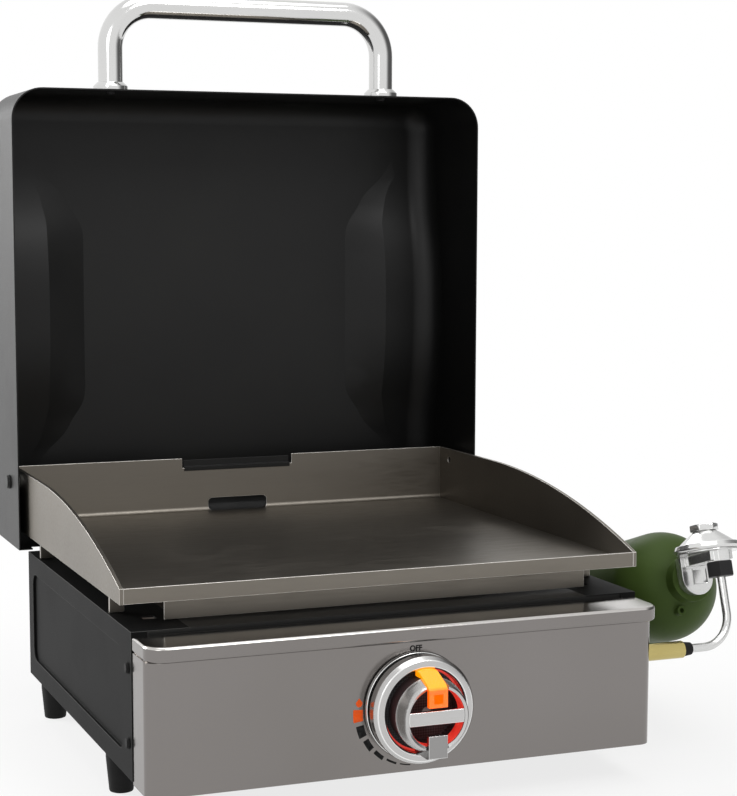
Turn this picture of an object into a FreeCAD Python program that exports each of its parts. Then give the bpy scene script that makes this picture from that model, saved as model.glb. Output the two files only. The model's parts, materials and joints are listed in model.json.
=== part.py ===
import FreeCAD, Part
import math
import os
import re

import Sketcher
from FreeCAD import Placement, Rotation, Vector

# Tabletop gas griddle with a hinged hood, millimetres.
# X runs to the cook's right, Y to the back and Z up.
# The origin is on the table, midway between the four feet.

doc = FreeCAD.newDocument("tabletop_griddle")

# Driving dimensions
SIZES = {
    # Feet and the base's sheet-metal box
    "foot_height": 34.3,
    "foot_radius": 12.0,
    "foot_tip_radius": 9.5,
    "foot_band": 6.9,
    "foot_inset": 15.2,
    "foot_reach": 116.5,
    "body_half_width": 210.2,
    "body_front": 207.1,
    "body_rear": 149.4,
    "body_height": 112.4,
    "body_sheet": 1.2,
    "top_flange": 44.0,
    "bottom_flange": 30.0,
    "front_return": 12.0,
    "recess_margin": 17.0,
    "recess_depth": 2.5,
    "recess_corner": 11.0,
    "flange_slot": 10.0,
    "flange_slot_inset": 21.0,
    "flange_slot_setback": 40.0,
    # Fasteners
    "screw_radius": 2.5,
    "screw_head_radius": 4.5,
    "screw_head_height": 2.4,
    "screw_length": 10.0,
    "screw_setback": 8.6,
    "screw_upper_drop": 28.4,
    "screw_lower_drop": 85.1,
    # Stainless front panel and its lip
    "panel_sheet": 1.0,
    "panel_inset": 5.2,
    "panel_reach": 40.0,
    "panel_hang": 2.3,
    "panel_corner": 11.0,
    "lip_proud": 5.0,
    "lip_overhang": 3.3,
    "lip_height": 11.9,
    "lip_drop": 3.1,
    "lip_corner": 15.0,
    "lip_round": 2.5,
    # Cooking top
    "griddle_overhang": 5.8,
    "griddle_depth": 382.0,
    "griddle_front_reach": 198.5,
    "griddle_standoff": 18.7,
    "wall_thickness": 3.0,
    "floor_thickness": 4.5,
    "front_lip_height": 11.9,
    "rear_wall_height": 55.3,
    "wall_crest_run": 260.0,
    "bend_radius": 4.0,
    "notch_half_width": 55.0,
    "notch_depth": 9.0,
    "drain_half_width": 29.3,
    "drain_height": 16.3,
    "drain_chamfer": 7.0,
    "drain_corner": 4.0,
    "leg_width": 12.0,
    "leg_thickness": 3.0,
    "leg_inset": 14.0,
    "front_leg_y": 62.0,
    "rear_leg_y": 307.0,
    "guard_inset": 38.5,
    "guard_setback": 17.0,
    "guard_thickness": 1.5,
    "guard_gap": 1.5,
    # Grease cup
    "cup_half_width": 53.0,
    "cup_depth": 27.0,
    "cup_height": 45.0,
    "cup_sheet": 1.0,
    "cup_below_floor": 4.0,
    "cup_corner": 6.0,
    "strap_width": 14.0,
    "strip_height": 14.0,
    "hook_drop": 3.0,
    # Hood
    "hood_clearance": 7.9,
    "hood_height": 407.7,
    "hood_lift": 6.1,
    "hood_rim_y": 122.3,
    "hood_depth": 100.0,
    "hood_sheet": 1.2,
    "hood_corner": 28.0,
    "hood_edge_round": 24.0,
    "emboss_rise": 18.0,
    "emboss_half_height": 152.0,
    "emboss_flare": 1.5,
    "emboss_ramp": 140.0,
    "tip_margin": 28.1,
    "emboss_tip_draft": 1.5,
    "outer_margin": 51.9,
    "crease_outer_straight": 86.0,
    "inner_margin": 88.9,
    "crease_inner_straight": 74.0,
    "hood_setback": 13.5,
    "hood_cup_gap": 12.0,
    "hood_cup_reach": 96.0,
    "hood_side_gap": 1.5,
    "pivot_y": 158.9,
    "pivot_height": 63.2,
    "pivot_radius": 4.0,
    "pivot_thread_radius": 3.0,
    "pivot_head_radius": 6.5,
    "pivot_head_height": 3.0,
    "spacer_radius": 8.0,
    # Handle
    "handle_radius": 11.0,
    "handle_wall": 1.5,
    "handle_inset": 93.4,
    "handle_rise": 86.0,
    "handle_bend": 38.0,
    "handle_setback": 18.2,
    "bezel_radius": 15.5,
    "bezel_height": 7.0,
    "insert_length": 16.0,
    # Control knob
    "knob_drop": 64.5,
    "knob_base_radius": 42.0,
    "knob_base_thickness": 2.0,
    "knob_ring_radius": 41.0,
    "knob_ring_shoulder": 38.5,
    "knob_ring_bore": 32.5,
    "knob_ring_back": 6.5,
    "knob_ring_depth": 12.0,
    "knob_ring_bevel": 4.5,
    "knob_core_radius": 26.8,
    "knob_core_depth": 19.0,
    "knob_flange": 4.0,
    "knob_floor": 20.0,
    "knob_well_radius": 20.5,
    "knob_rim_height": 2.0,
    "knob_rim_radius": 28.2,
    "knob_nose_radius": 25.4,
    "knob_nose_bore": 22.5,
    "knob_nose": 39.0,
    "knob_bar_height": 10.4,
    "knob_bar_depth": 3.5,
    "lens_width": 18.0,
    "lens_reach": 8.0,
    "tail_reach": 13.0,
    "lens_thickness": 4.0,
    "lens_proud": 1.5,
    "lens_root": 4.0,
    "lens_lap": 1.5,
    "lens_shoulder": 25.0,
    "lens_crest": 21.5,
    "tail_shoulder": 31.5,
    "tail_crest": 30.0,
    "knob_travel": 4.0,
    "stem_radius": 4.0,
    "stem_drop": 2.0,
    "panel_hole_radius": 10.0,
    "running_gap": 0.05,
    "end_play": 0.3,
    "edge_break": 1.0,
    "cut_over": 1.0,
    # Gas valve and burner
    "plug_radius": 6.0,
    "plug_length": 24.0,
    "valve_radius": 11.0,
    "valve_length": 32.0,
    "valve_nose": 4.0,
    "valve_nose_radius": 6.0,
    "plug_floor": 4.0,
    "orifice_radius": 4.5,
    "orifice_tip_radius": 2.2,
    "orifice_taper": 8.0,
    "orifice_length": 26.0,
    "burner_radius": 16.0,
    "burner_wall": 1.5,
    "burner_margin": 60.2,
    "burner_front_y": -80.0,
    "burner_rear_y": 70.0,
    "burner_drop": 46.0,
    "bridge_radius": 13.0,
    "mixer_length": 108.0,
    "mixer_radius": 13.5,
    "mixer_lap": 13.5,
    "port_pitch": 28.0,
    "port_width": 2.0,
    "port_length": 12.0,
    "bracket_width": 22.0,
    "bracket_thickness": 2.0,
    "bracket_lap": 26.0,
    "igniter_x": 45.0,
    "insulator_radius": 4.0,
    "insulator_collar": 7.0,
    "collar_height": 3.0,
    "insulator_tail": 10.0,
    "insulator_nose": 24.0,
    "electrode_radius": 1.2,
    "spark_gap": 4.0,
    "module_width": 50.0,
    "module_height": 30.0,
    "module_depth": 22.0,
    "module_x": 70.0,
    "module_rise": 14.0,
    "module_corner": 2.0,
    # Gas line on the right
    "inlet_setback": 19.0,
    "inlet_drop": 45.6,
    "manifold_radius": 5.0,
    "manifold_bend": 10.0,
    "fitting_radius": 7.0,
    "fitting_length": 37.0,
    "pipe_seat": 9.6,
    "tube_seat": 8.0,
    "locknut_radius": 7.5,
    "locknut_height": 5.0,
    "seal_radius": 6.0,
    "seal_length": 8.0,
    "tube_radius": 3.5,
    "tube_bend": 26.0,
    "gas_standoff": 83.7,
    "gas_tilt": 18.0,
    "nut_foot": 56.0,
    "nut_radius": 11.5,
    "nut_height": 12.0,
    "nut_seat": 6.0,
    "outlet_radius": 10.5,
    "outlet_height": 9.5,
    "bowl_radius": 28.0,
    "bowl_offset": 15.0,
    "bowl_height": 1.5,
    "bowl_step": 2.0,
    "rim_height": 6.0,
    "rim_round": 1.8,
    "cone_radius": 24.0,
    "cone_height": 10.0,
    "cone_top_radius": 11.0,
    "cap_radius": 12.0,
    "cap_height": 5.8,
    "cap_gap": 1.0,
    "cap_stem_radius": 9.5,
    "boss_radius": 14.5,
    "boss_front": 35.0,
    "boss_back": 43.6,
    "boss_bridge_height": 8.0,
    "bottle_axis_rise": 60.0,
    "bottle_radius": 47.5,
    "bottle_shoulder": 95.5,
    "bottle_dome": 43.0,
    "bottle_length": 139.0,
    "bottle_base_round": 12.0,
    "bottle_foot_radius": 36.0,
    "foot_ring": 2.0,
    "bottle_foot_height": 10.0,
    "neck_radius": 19.0,
    "neck_end": 44.0,
    "neck_bore": 3.0,
    "neck_root": 34.0,
    "bottle_wall": 1.2,
    "thread_radius": 11.0,
    "thread_length": 6.0,
    "relief_radius": 4.0,
    "relief_drop": 25.0,
    "relief_side": 8.8,
    "relief_height": 8.0,
    "relief_bore": 2.0,
    "relief_well": 5.0,
    "relief_sink": 3.0,
}

# Places worked out from the driving dimensions
PLACES = {
    "body_top": "foot_height + body_height",
    "skin_inside": "body_half_width - body_sheet",
    "foot_spread": "body_half_width - foot_inset",
    "panel_half_width": "body_half_width - panel_inset",
    "lip_half_width": "panel_half_width + lip_overhang",
    "griddle_half_width": "body_half_width + griddle_overhang",
    "leg_spread": "griddle_half_width - leg_inset",
    "guard_half_width": "griddle_half_width - guard_inset",
    "hood_half_width": "griddle_half_width + hood_clearance",
    "emboss_tip": "hood_half_width - tip_margin",
    "crease_outer": "hood_half_width - outer_margin",
    "crease_inner": "hood_half_width - inner_margin",
    "handle_spread": "hood_half_width - handle_inset",
    "burner_half_length": "body_half_width - burner_margin",
    "gas_x": "panel_half_width + gas_standoff",
    "flange_edge": "skin_inside - top_flange",
    "panel_face": "-body_front - panel_reach",
    "panel_back": "panel_face + panel_sheet",
    "panel_bottom": "foot_height - panel_hang",
    "lip_face": "panel_face - lip_proud",
    "lip_top": "body_top - lip_drop",
    "lip_bottom": "lip_top - lip_height",
    "griddle_front": "-griddle_front_reach",
    "griddle_back": "griddle_front + griddle_depth",
    "griddle_bottom": "body_top + griddle_standoff",
    "griddle_inside": "griddle_half_width - wall_thickness",
    "wall_inside": "griddle_back - wall_thickness",
    "wall_top": "griddle_bottom + rear_wall_height",
    "lip_crest": "griddle_bottom + front_lip_height",
    "hood_bottom": "body_top + hood_lift",
    "hood_top": "hood_bottom + hood_height",
    "hood_middle": "hood_bottom + hood_height / 2",
    "pivot_z": "body_top + pivot_height",
    "handle_y": "hood_rim_y + handle_setback",
    "knob_z": "body_top - knob_drop",
    "valve_port_z": "knob_z + plug_radius + running_gap + edge_break",
    "inlet_y": "panel_face + inlet_setback",
    "inlet_z": "body_top - inlet_drop",
    "burner_z": "body_top - burner_drop",
    "bracket_z": "burner_z - burner_radius",
    "bowl_foot": "nut_foot + nut_height + outlet_height",
    "rim_foot": "bowl_foot + bowl_height",
    "cone_foot": "rim_foot + rim_height",
    "cap_foot": "cone_foot + cone_height + cap_gap",
}

sizes = doc.addObject("Spreadsheet::Sheet", "sizes")
for row, (alias, size) in enumerate(SIZES.items(), start=1):
    sizes.set(f"A{row}", alias)
    sizes.set(f"B{row}", str(size))
    sizes.setAlias(f"B{row}", alias)

places = doc.addObject("Spreadsheet::Sheet", "places")


def bound(expression):
    """The expression with each alias prefixed by its sheet's name."""

    def prefixed(match):
        word = match[0]
        if word in SIZES:
            return "sizes." + word
        if word in PLACES:
            return "places." + word
        return word

    return re.sub(r"[a-z][a-z_]*", prefixed, str(expression))


for row, (alias, formula) in enumerate(PLACES.items(), start=1):
    places.set(f"A{row}", alias)
    places.set(f"B{row}", "=" + bound(formula))
    places.setAlias(f"B{row}", alias)
doc.recompute()


def num(expression):
    """The value of an expression of sheet aliases, in millimetres."""
    return float(sizes.evalExpression(bound(expression)))


# Turns local +Z onto the named direction
TURNS = {
    "Z": Rotation(),
    "-Z": Rotation(Vector(1, 0, 0), 180),
    "X": Rotation(Vector(0, 1, 0), 90),
    "-X": Rotation(Vector(0, 1, 0), -90),
    "Y": Rotation(Vector(1, 0, 0), -90),
    "-Y": Rotation(Vector(1, 0, 0), 90),
}

NODES = []


def node(piece, label):
    """Names a finished piece and lists it for export."""
    piece.Label = label
    NODES.append(piece)
    return piece


def moved(piece, x, y, z, direction="Z"):
    """Sets a piece's placement, bound to the sheets."""
    piece.Placement = Placement(Vector(), TURNS[direction])
    for letter, expression in zip("xyz", (x, y, z)):
        piece.setExpression(f"Placement.Base.{letter}", bound(expression))
    return piece


def box(name, x, y, z):
    """A box between pairs of limits, each pair (low, high)."""
    piece = doc.addObject("Part::Box", name)
    for side, (low, high) in zip(("Length", "Width", "Height"), (x, y, z)):
        piece.setExpression(side, bound(f"({high}) - ({low})"))
    return moved(piece, x[0], y[0], z[0])


def rod(name, radius, length, at, direction="Z"):
    """A cylinder from a point along a direction."""
    piece = doc.addObject("Part::Cylinder", name)
    piece.setExpression("Radius", bound(radius))
    piece.setExpression("Height", bound(length))
    return moved(piece, *at, direction)


def prism(name, radius, length, at, direction="Z"):
    """A hexagonal bar from a point along a direction."""
    piece = doc.addObject("Part::Prism", name)
    piece.Polygon = 6
    piece.setExpression("Circumradius", bound(radius))
    piece.setExpression("Height", bound(length))
    return moved(piece, *at, direction)


def fuse(name, *pieces):
    piece = doc.addObject("Part::MultiFuse", name)
    piece.Shapes = list(pieces)
    piece.Refine = True
    return piece


def cut(name, base, *tools):
    piece = doc.addObject("Part::Cut", name)
    piece.Base = base
    piece.Tool = tools[0] if len(tools) == 1 else fuse(name + "_cutter", *tools)
    return piece


def common(name, first, second):
    piece = doc.addObject("Part::Common", name)
    piece.Base = first
    piece.Tool = second
    return piece


def group(name, *pieces):
    """Separate solids kept together in one node."""
    piece = doc.addObject("Part::Compound", name)
    piece.Links = list(pieces)
    return piece


def mirrored(name, source):
    """The same piece on the other side of the middle plane."""
    piece = doc.addObject("Part::Mirroring", name)
    piece.Source = source
    piece.Base = Vector()
    piece.Normal = Vector(1, 0, 0)
    return piece


def rounded(name, base, radius, picked):
    """Fillets the base's edges whose direction and middle are picked."""
    doc.recompute()
    size = num(radius)
    edges = []
    for index, edge in enumerate(base.Shape.Edges, start=1):
        heading = edge.tangentAt(edge.FirstParameter)
        middle = edge.valueAt((edge.FirstParameter + edge.LastParameter) / 2)
        if picked(heading, middle):
            edges.append((index, size, size))
    piece = doc.addObject("Part::Fillet", name)
    piece.Base = base
    piece.Edges = edges
    return piece


def outline(body, plane, points):
    """A closed sketch of straight edges through bound points."""
    sketch = body.newObject("Sketcher::SketchObject", body.Name + "_profile")
    origin_planes = body.Origin.OriginFeatures
    sketch.AttachmentSupport = [next((f, "") for f in origin_planes if f.Role == plane)]
    sketch.MapMode = "FlatFace"
    values = [Vector(num(u), num(v), 0) for u, v in points]
    following = values[1:] + values[:1]
    for start, end in zip(values, following):
        sketch.addGeometry(Part.LineSegment(start, end), False)
    for index in range(len(points)):
        ahead = (index + 1) % len(points)
        sketch.addConstraint(Sketcher.Constraint("Coincident", index, 2, ahead, 1))
    for index, (point, value) in enumerate(zip(points, values)):
        pin_point(sketch, index, "DistanceX", -2, point[0], value.x)
        pin_point(sketch, index, "DistanceY", -1, point[1], value.y)
    return sketch


def pin_point(sketch, index, kind, axis, expression, value):
    """Ties one coordinate of a sketch corner to the sheets."""
    if abs(value) < 1e-9:
        sketch.addConstraint(Sketcher.Constraint("PointOnObject", index, 1, axis))
        return
    tie = sketch.addConstraint(Sketcher.Constraint(kind, -1, 1, index, 1, value))
    sketch.setExpression(f"Constraints[{tie}]", bound(expression))


def turned(name, profile, at, direction="Z"):
    """A lathe-turned piece: (radius, height) corners spun about its axis."""
    body = doc.addObject("PartDesign::Body", name)
    sketch = outline(body, "XZ_Plane", profile)
    spin = body.newObject("PartDesign::Revolution", name + "_spin")
    spin.Profile = sketch
    spin.ReferenceAxis = (sketch, ["V_Axis"])
    spin.Angle = 360
    return moved(body, *at, direction)


def padded(name, plane, profile, length, at=("0", "0", "0")):
    """A profile pushed out equally to both sides of its plane."""
    body = doc.addObject("PartDesign::Body", name)
    sketch = outline(body, plane, profile)
    pad = body.newObject("PartDesign::Pad", name + "_pad")
    pad.Profile = sketch
    pad.Midplane = True
    pad.setExpression("Length", bound(length))
    return moved(body, *at)


def bent_path(points, bend):
    """Straight runs joined by tangent arcs of one radius."""
    edges = []
    start = points[0]
    for corner, ahead in zip(points[1:-1], points[2:]):
        into = (corner - start).normalize()
        out = (ahead - corner).normalize()
        turn = into.getAngle(out)
        trim = bend * math.tan(turn / 2)
        first = corner - into * trim
        last = corner + out * trim
        inward = (out - into).normalize()
        middle = corner + inward * (bend / math.cos(turn / 2) - bend)
        edges.append(Part.LineSegment(start, first).toShape())
        edges.append(Part.Arc(first, middle, last).toShape())
        start = last
    edges.append(Part.LineSegment(start, points[-1]).toShape())
    return Part.Wire(edges)


def bent_rod(points, bend, radius):
    """A round bar swept along straight runs and arcs."""
    path = bent_path(points, bend)
    heading = points[1] - points[0]
    section = Part.Wire([Part.makeCircle(radius, points[0], heading)])
    return path.makePipeShell([section], True, False)


def feature(name, shape):
    piece = doc.addObject("Part::Feature", name)
    piece.Shape = shape
    return piece


def swivelled(piece, q="0", s="0", direction="Z", side="0"):
    """Places a gas-line piece in the frame that leans back with the tube.

    q runs back from the tube's axis, s up along it and side to the right.
    """
    lean = Rotation(Vector(1, 0, 0), -num("gas_tilt"))
    piece.Placement = Placement(Vector(), lean.multiply(TURNS[direction]))
    spots = (
        f"gas_x + ({side})",
        f"inlet_y + ({q}) * cos(gas_tilt) + ({s}) * sin(gas_tilt)",
        f"inlet_z - ({q}) * sin(gas_tilt) + ({s}) * cos(gas_tilt)",
    )
    for letter, expression in zip("xyz", spots):
        piece.setExpression(f"Placement.Base.{letter}", bound(expression))
    return piece


PORT_STEPS = 4
SCOOP_STEPS = 10
SIDES = (("left", "-1"), ("right", "1"))
ENDS = (("front", "-1"), ("rear", "1"))


# Base
def make_feet():
    screws = []
    for end, along in ENDS:
        for side, across in SIDES:
            at = (f"{across} * foot_spread", f"{along} * foot_reach")
            foot = turned(
                f"foot_{end}_{side}_turned",
                [
                    ("0", "0"),
                    ("foot_tip_radius", "0"),
                    ("foot_radius", "foot_height - foot_band"),
                    ("foot_radius", "foot_height"),
                    ("0", "foot_height"),
                ],
                (*at, "0"),
            )
            depth = "screw_length - body_sheet"
            bore = rod(f"foot_{end}_{side}_bore", "screw_radius", depth, (*at, f"foot_height - ({depth})"))
            node(cut(f"foot_{end}_{side}", foot, bore), f"foot_{end}_{side}")
            screws.append(screw(f"foot_screw_{end}_{side}", (*at, "foot_height + body_sheet"), "Z"))
    node(group("foot_screw_set", *screws), "foot_screws")


def screw(name, seat, direction):
    """A pan-head screw whose head sits on a face and whose shank goes in."""
    return turned(
        name,
        [
            ("0", "-screw_length"),
            ("screw_radius - running_gap", "-screw_length"),
            ("screw_radius - running_gap", "0"),
            ("screw_head_radius", "0"),
            ("screw_head_radius - edge_break", "screw_head_height"),
            ("0", "screw_head_height"),
        ],
        seat,
        direction,
    )


def make_side_panels():
    skin_x = ("-body_half_width", "-skin_inside")
    length = ("-body_front", "body_rear")
    height = ("foot_height", "body_top")
    skin = box("side_skin", skin_x, length, height)
    inner_x = ("-skin_inside", "-flange_edge")
    top = box("side_top_flange", inner_x, length, ("body_top - body_sheet", "body_top"))
    bottom_x = ("-skin_inside", "bottom_flange - skin_inside")
    bottom_y = ("body_sheet - body_front", "body_rear - body_sheet")
    bottom_z = ("foot_height", "foot_height + body_sheet")
    bottom = box("side_bottom_flange", bottom_x, bottom_y, bottom_z)
    return_x = ("-skin_inside", "front_return - skin_inside")
    return_y = ("-body_front", "body_sheet - body_front")
    front = box("side_front_return", return_x, return_y, height)
    pad = rounded_plate(
        "side_recess_back",
        ("-skin_inside - 0.5 * body_sheet", "recess_depth - skin_inside"),
        "recess_margin - body_sheet",
        "recess_corner + body_sheet",
    )
    hollow = rounded_plate(
        "side_recess",
        ("-body_half_width - body_sheet", "recess_depth - body_half_width"),
        "recess_margin",
        "recess_corner",
    )
    slot_x = "-body_half_width + flange_slot_inset"
    slot_y = "-body_front + flange_slot_setback"
    slot = box(
        "side_slot",
        (slot_x, f"{slot_x} + flange_slot"),
        (slot_y, f"{slot_y} + flange_slot"),
        ("body_top - 2 * body_sheet", "body_top + body_sheet"),
    )
    holes = [slot]
    for drop in ("screw_upper_drop", "screw_lower_drop"):
        at = ("-body_half_width - body_sheet", "screw_setback - body_front", f"body_top - {drop}")
        holes.append(rod("side_screw_hole", "screw_radius", "3 * body_sheet", at, "X"))
    for along in ("-1", "1"):
        at = ("-foot_spread", f"{along} * foot_reach", "foot_height - body_sheet")
        holes.append(rod("side_foot_hole", "screw_radius", "3 * body_sheet", at))
    whole = fuse("side_sheet", skin, top, bottom, front, pad)
    left = cut("left_panel", whole, hollow, *holes)
    node(left, "left_side_panel")
    node(mirrored("right_panel", left), "right_side_panel")
    screws = []
    for side, across in SIDES:
        direction = "X" if across == "1" else "-X"
        for drop in ("screw_upper_drop", "screw_lower_drop"):
            seat = (f"{across} * body_half_width", "screw_setback - body_front", f"body_top - {drop}")
            screws.append(screw(f"side_screw_{side}", seat, direction))
    node(group("side_screw_set", *screws), "side_screws")


def rounded_plate(name, x, margin, corner):
    """A plate inset from the side panel's outline, with round corners."""
    plate = box(
        name + "_plate",
        x,
        (f"-body_front + screw_setback + {margin}", f"body_rear - ({margin})"),
        (f"foot_height + {margin}", f"body_top - ({margin})"),
    )
    return rounded(name, plate, corner, lambda heading, middle: abs(heading.x) > 0.9)


def make_cross_walls():
    flange_x = ("-flange_edge", "flange_edge")
    flange_z = ("body_top - body_sheet", "body_top")
    web_x = ("-skin_inside", "skin_inside")
    web_z = ("foot_height + body_sheet", "body_top - body_sheet")
    web_front = "body_sheet - body_front"
    web = box("fire_wall_web", web_x, (web_front, f"{web_front} + body_sheet"), web_z)
    top = box("fire_wall_top", flange_x, ("-body_front", "top_flange - body_front"), flange_z)
    ears = []
    for side, across in SIDES:
        edge = ("skin_inside - body_sheet", "skin_inside")
        if across == "-1":
            edge = ("-skin_inside", "body_sheet - skin_inside")
        ears.append(box("fire_wall_ear", edge, (web_front, f"{web_front} + 2 * screw_setback"), web_z))
    holes = [
        rod("fire_wall_gas_hole", "burner_radius", "4 * body_sheet", ("0", "-body_front", "knob_z"), "Y"),
        rod(
            "fire_wall_spark_hole",
            "insulator_radius + running_gap",
            "4 * body_sheet",
            ("igniter_x", "-body_front", "burner_z"),
            "Y",
        ),
    ]
    for drop in ("screw_upper_drop", "screw_lower_drop"):
        at = ("-body_half_width", "screw_setback - body_front", f"body_top - {drop}")
        holes.append(rod("fire_wall_ear_hole", "screw_radius", "2 * body_half_width", at, "X"))
    wall = fuse("fire_wall_sheet", web, top, *ears)
    node(cut("fire_wall_cut", wall, *holes), "fire_wall")
    back = box("rear_web", web_x, ("body_rear - body_sheet", "body_rear"), web_z)
    rear_top = box("rear_top", flange_x, ("body_rear - top_flange", "body_rear"), flange_z)
    node(fuse("rear_sheet", back, rear_top), "rear_panel")


def upright(heading):
    return abs(heading.z) > 0.9


def panel_shell(name, half_width, face, bottom, top, corner):
    """A block with round vertical front corners, open to the back."""
    block = box(
        name + "_block",
        (f"-({half_width})", half_width),
        (face, "-body_front"),
        (bottom, top),
    )
    front = num(face)
    return rounded(name, block, corner, lambda heading, middle: upright(heading) and middle.y < front + 1)


def lip_rounded(name, block, radius):
    """Rounds a block's level edges, all but those at its open back."""
    back = num("-body_front")
    return rounded(name, block, radius, lambda heading, middle: not upright(heading) and middle.y < back - 1)


def make_front_panel():
    sheet = "panel_sheet"
    face = panel_shell(
        "panel_face_outside",
        "panel_half_width",
        "panel_face",
        "panel_bottom",
        f"lip_bottom + {sheet}",
        "panel_corner",
    )
    lip_spans = ("lip_half_width", "lip_face", "lip_bottom", "lip_top", "lip_corner")
    lip = lip_rounded("panel_lip", panel_shell("panel_lip_outside", *lip_spans), "lip_round")
    face_hollow = panel_shell(
        "panel_face_inside",
        f"panel_half_width - {sheet}",
        "panel_back",
        f"panel_bottom - {sheet}",
        f"lip_bottom + 2 * {sheet}",
        f"panel_corner - {sheet}",
    )
    lip_hollow = panel_shell(
        "panel_lip_inside",
        f"lip_half_width - {sheet}",
        f"lip_face + {sheet}",
        f"lip_bottom + {sheet}",
        f"lip_top - {sheet}",
        f"lip_corner - {sheet}",
    )
    lip_room = lip_rounded("panel_lip_room", lip_hollow, f"lip_round - {sheet}")
    stem_at = ("0", f"panel_face - {sheet}", "knob_z")
    stem_hole = rod("panel_stem_hole", "panel_hole_radius", f"3 * {sheet}", stem_at, "Y")
    inlet_at = (f"panel_half_width - 2 * {sheet}", "inlet_y", "inlet_z")
    inlet_hole = rod("panel_inlet_hole", "manifold_radius + running_gap", f"4 * {sheet}", inlet_at, "X")
    shell = fuse("panel_outside", face, lip)
    node(cut("panel_sheet_cut", shell, face_hollow, lip_room, stem_hole, inlet_hole), "front_panel")


# Burner, valve and igniter
def burner_tubes(name, wall):
    """Two bars joined by a bridge, fed by a mixing tube from the front."""
    half = f"burner_half_length - {wall}"
    tubes = []
    for row_y in ("burner_front_y", "burner_rear_y"):
        bar_at = (f"-({half})", row_y, "burner_z")
        tubes.append(rod(name + "_bar", f"burner_radius - {wall}", f"2 * ({half})", bar_at, "X"))
    bridge_at = ("0", "burner_front_y", "burner_z")
    span = "burner_rear_y - burner_front_y"
    tubes.append(rod(name + "_bridge", f"bridge_radius - {wall}", span, bridge_at, "Y"))
    mouth = ("0", "burner_front_y - mixer_length", "knob_z")
    reach = f"mixer_length + mixer_lap - {wall}"
    tubes.append(rod(name + "_mixer", f"mixer_radius - {wall}", reach, mouth, "Y"))
    return fuse(name, *tubes)


def make_burner():
    outside = burner_tubes("burner_outside", "0")
    inside = burner_tubes("burner_inside", "burner_wall")
    ports = []
    for row_y in ("burner_front_y", "burner_rear_y"):
        for step in range(-PORT_STEPS, PORT_STEPS + 1):
            middle = f"{step} * port_pitch"
            ports.append(
                box(
                    "burner_port",
                    (f"{middle} - port_width / 2", f"{middle} + port_width / 2"),
                    (f"{row_y} - port_length / 2", f"{row_y} + port_length / 2"),
                    ("burner_z", "burner_z + burner_radius + cut_over"),
                )
            )
    node(cut("burner_cut", outside, inside, *ports), "burner")
    brackets = []
    seat = "skin_inside - recess_depth"
    for row_y in ("burner_front_y", "burner_rear_y"):
        for side, across in SIDES:
            reach = ("burner_half_length - bracket_lap", seat)
            tab = (f"{seat} - bracket_thickness", seat)
            if across == "-1":
                reach = (f"-({seat})", "bracket_lap - burner_half_length")
                tab = (f"-({seat})", f"bracket_thickness - ({seat})")
            width = (f"{row_y} - bracket_width / 2", f"{row_y} + bracket_width / 2")
            shelf = box("bracket_shelf", reach, width, ("bracket_z - bracket_thickness", "bracket_z"))
            ear = box("bracket_ear", tab, width, ("bracket_z - bracket_width", "bracket_z"))
            brackets.append(fuse(f"bracket_{side}", shelf, ear))
    node(group("bracket_set", *brackets), "burner_brackets")


def make_valve():
    axis = ("0", "panel_back", "knob_z")
    body = turned(
        "valve_turned",
        [
            ("plug_radius + running_gap", "0"),
            ("valve_radius", "0"),
            ("valve_radius", "valve_length"),
            ("valve_nose_radius", "valve_length"),
            ("valve_nose_radius", "valve_length + valve_nose"),
            ("0", "valve_length + valve_nose"),
            ("0", "plug_length + end_play"),
            ("plug_radius + running_gap", "plug_length + end_play"),
        ],
        axis,
        "Y",
    )
    inlet_at = ("0", "inlet_y", "valve_port_z")
    inlet = rod("valve_inlet_seat", "manifold_radius + running_gap", "valve_radius", inlet_at)
    node(cut("valve_cut", body, inlet), "gas_valve_body")
    node(
        turned(
            "orifice_turned",
            [
                ("0", "0"),
                ("orifice_radius", "0"),
                ("orifice_radius", "orifice_length - orifice_taper"),
                ("orifice_tip_radius", "orifice_length"),
                ("0", "orifice_length"),
            ],
            ("0", "panel_back + valve_length + valve_nose", "knob_z"),
            "Y",
        ),
        "gas_orifice",
    )
    node(
        turned(
            "plug_turned",
            [
                ("stem_radius + running_gap", "end_play"),
                ("plug_radius", "end_play"),
                ("plug_radius", "plug_length"),
                ("0", "plug_length"),
                ("0", "plug_length - plug_floor"),
                ("stem_radius + running_gap", "plug_length - plug_floor"),
            ],
            axis,
            "Y",
        ),
        "valve_plug",
    )


def make_igniter():
    wall_face = "body_sheet - body_front"
    at = ("igniter_x", wall_face, "burner_z")
    node(
        turned(
            "insulator_turned",
            [
                ("electrode_radius", "-insulator_tail"),
                ("insulator_radius", "-insulator_tail"),
                ("insulator_radius", "-collar_height"),
                ("insulator_collar", "-collar_height"),
                ("insulator_collar", "0"),
                ("insulator_radius", "0"),
                ("insulator_radius - edge_break", "insulator_nose"),
                ("electrode_radius", "insulator_nose"),
            ],
            at,
            "Y",
        ),
        "igniter_insulator",
    )
    tip = "burner_front_y - burner_radius - spark_gap"
    start = f"{wall_face} - insulator_tail"
    rod_at = ("igniter_x", start, "burner_z")
    node(
        rod("electrode", "electrode_radius - running_gap", f"({tip}) - ({start})", rod_at, "Y"),
        "igniter_electrode",
    )
    module = box(
        "module_block",
        ("module_x", "module_x + module_width"),
        ("panel_back", "panel_back + module_depth"),
        ("panel_bottom + module_rise", "panel_bottom + module_rise + module_height"),
    )
    case = rounded("module_case", module, "module_corner", lambda heading, middle: abs(heading.y) > 0.9)
    node(case, "igniter_module")


# Control knob
def knob_ring(name, profile):
    """A ring about the knob's axis, heights measured out from the panel."""
    return turned(name, profile, ("0", "panel_face", "knob_z"), "-Y")


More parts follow.
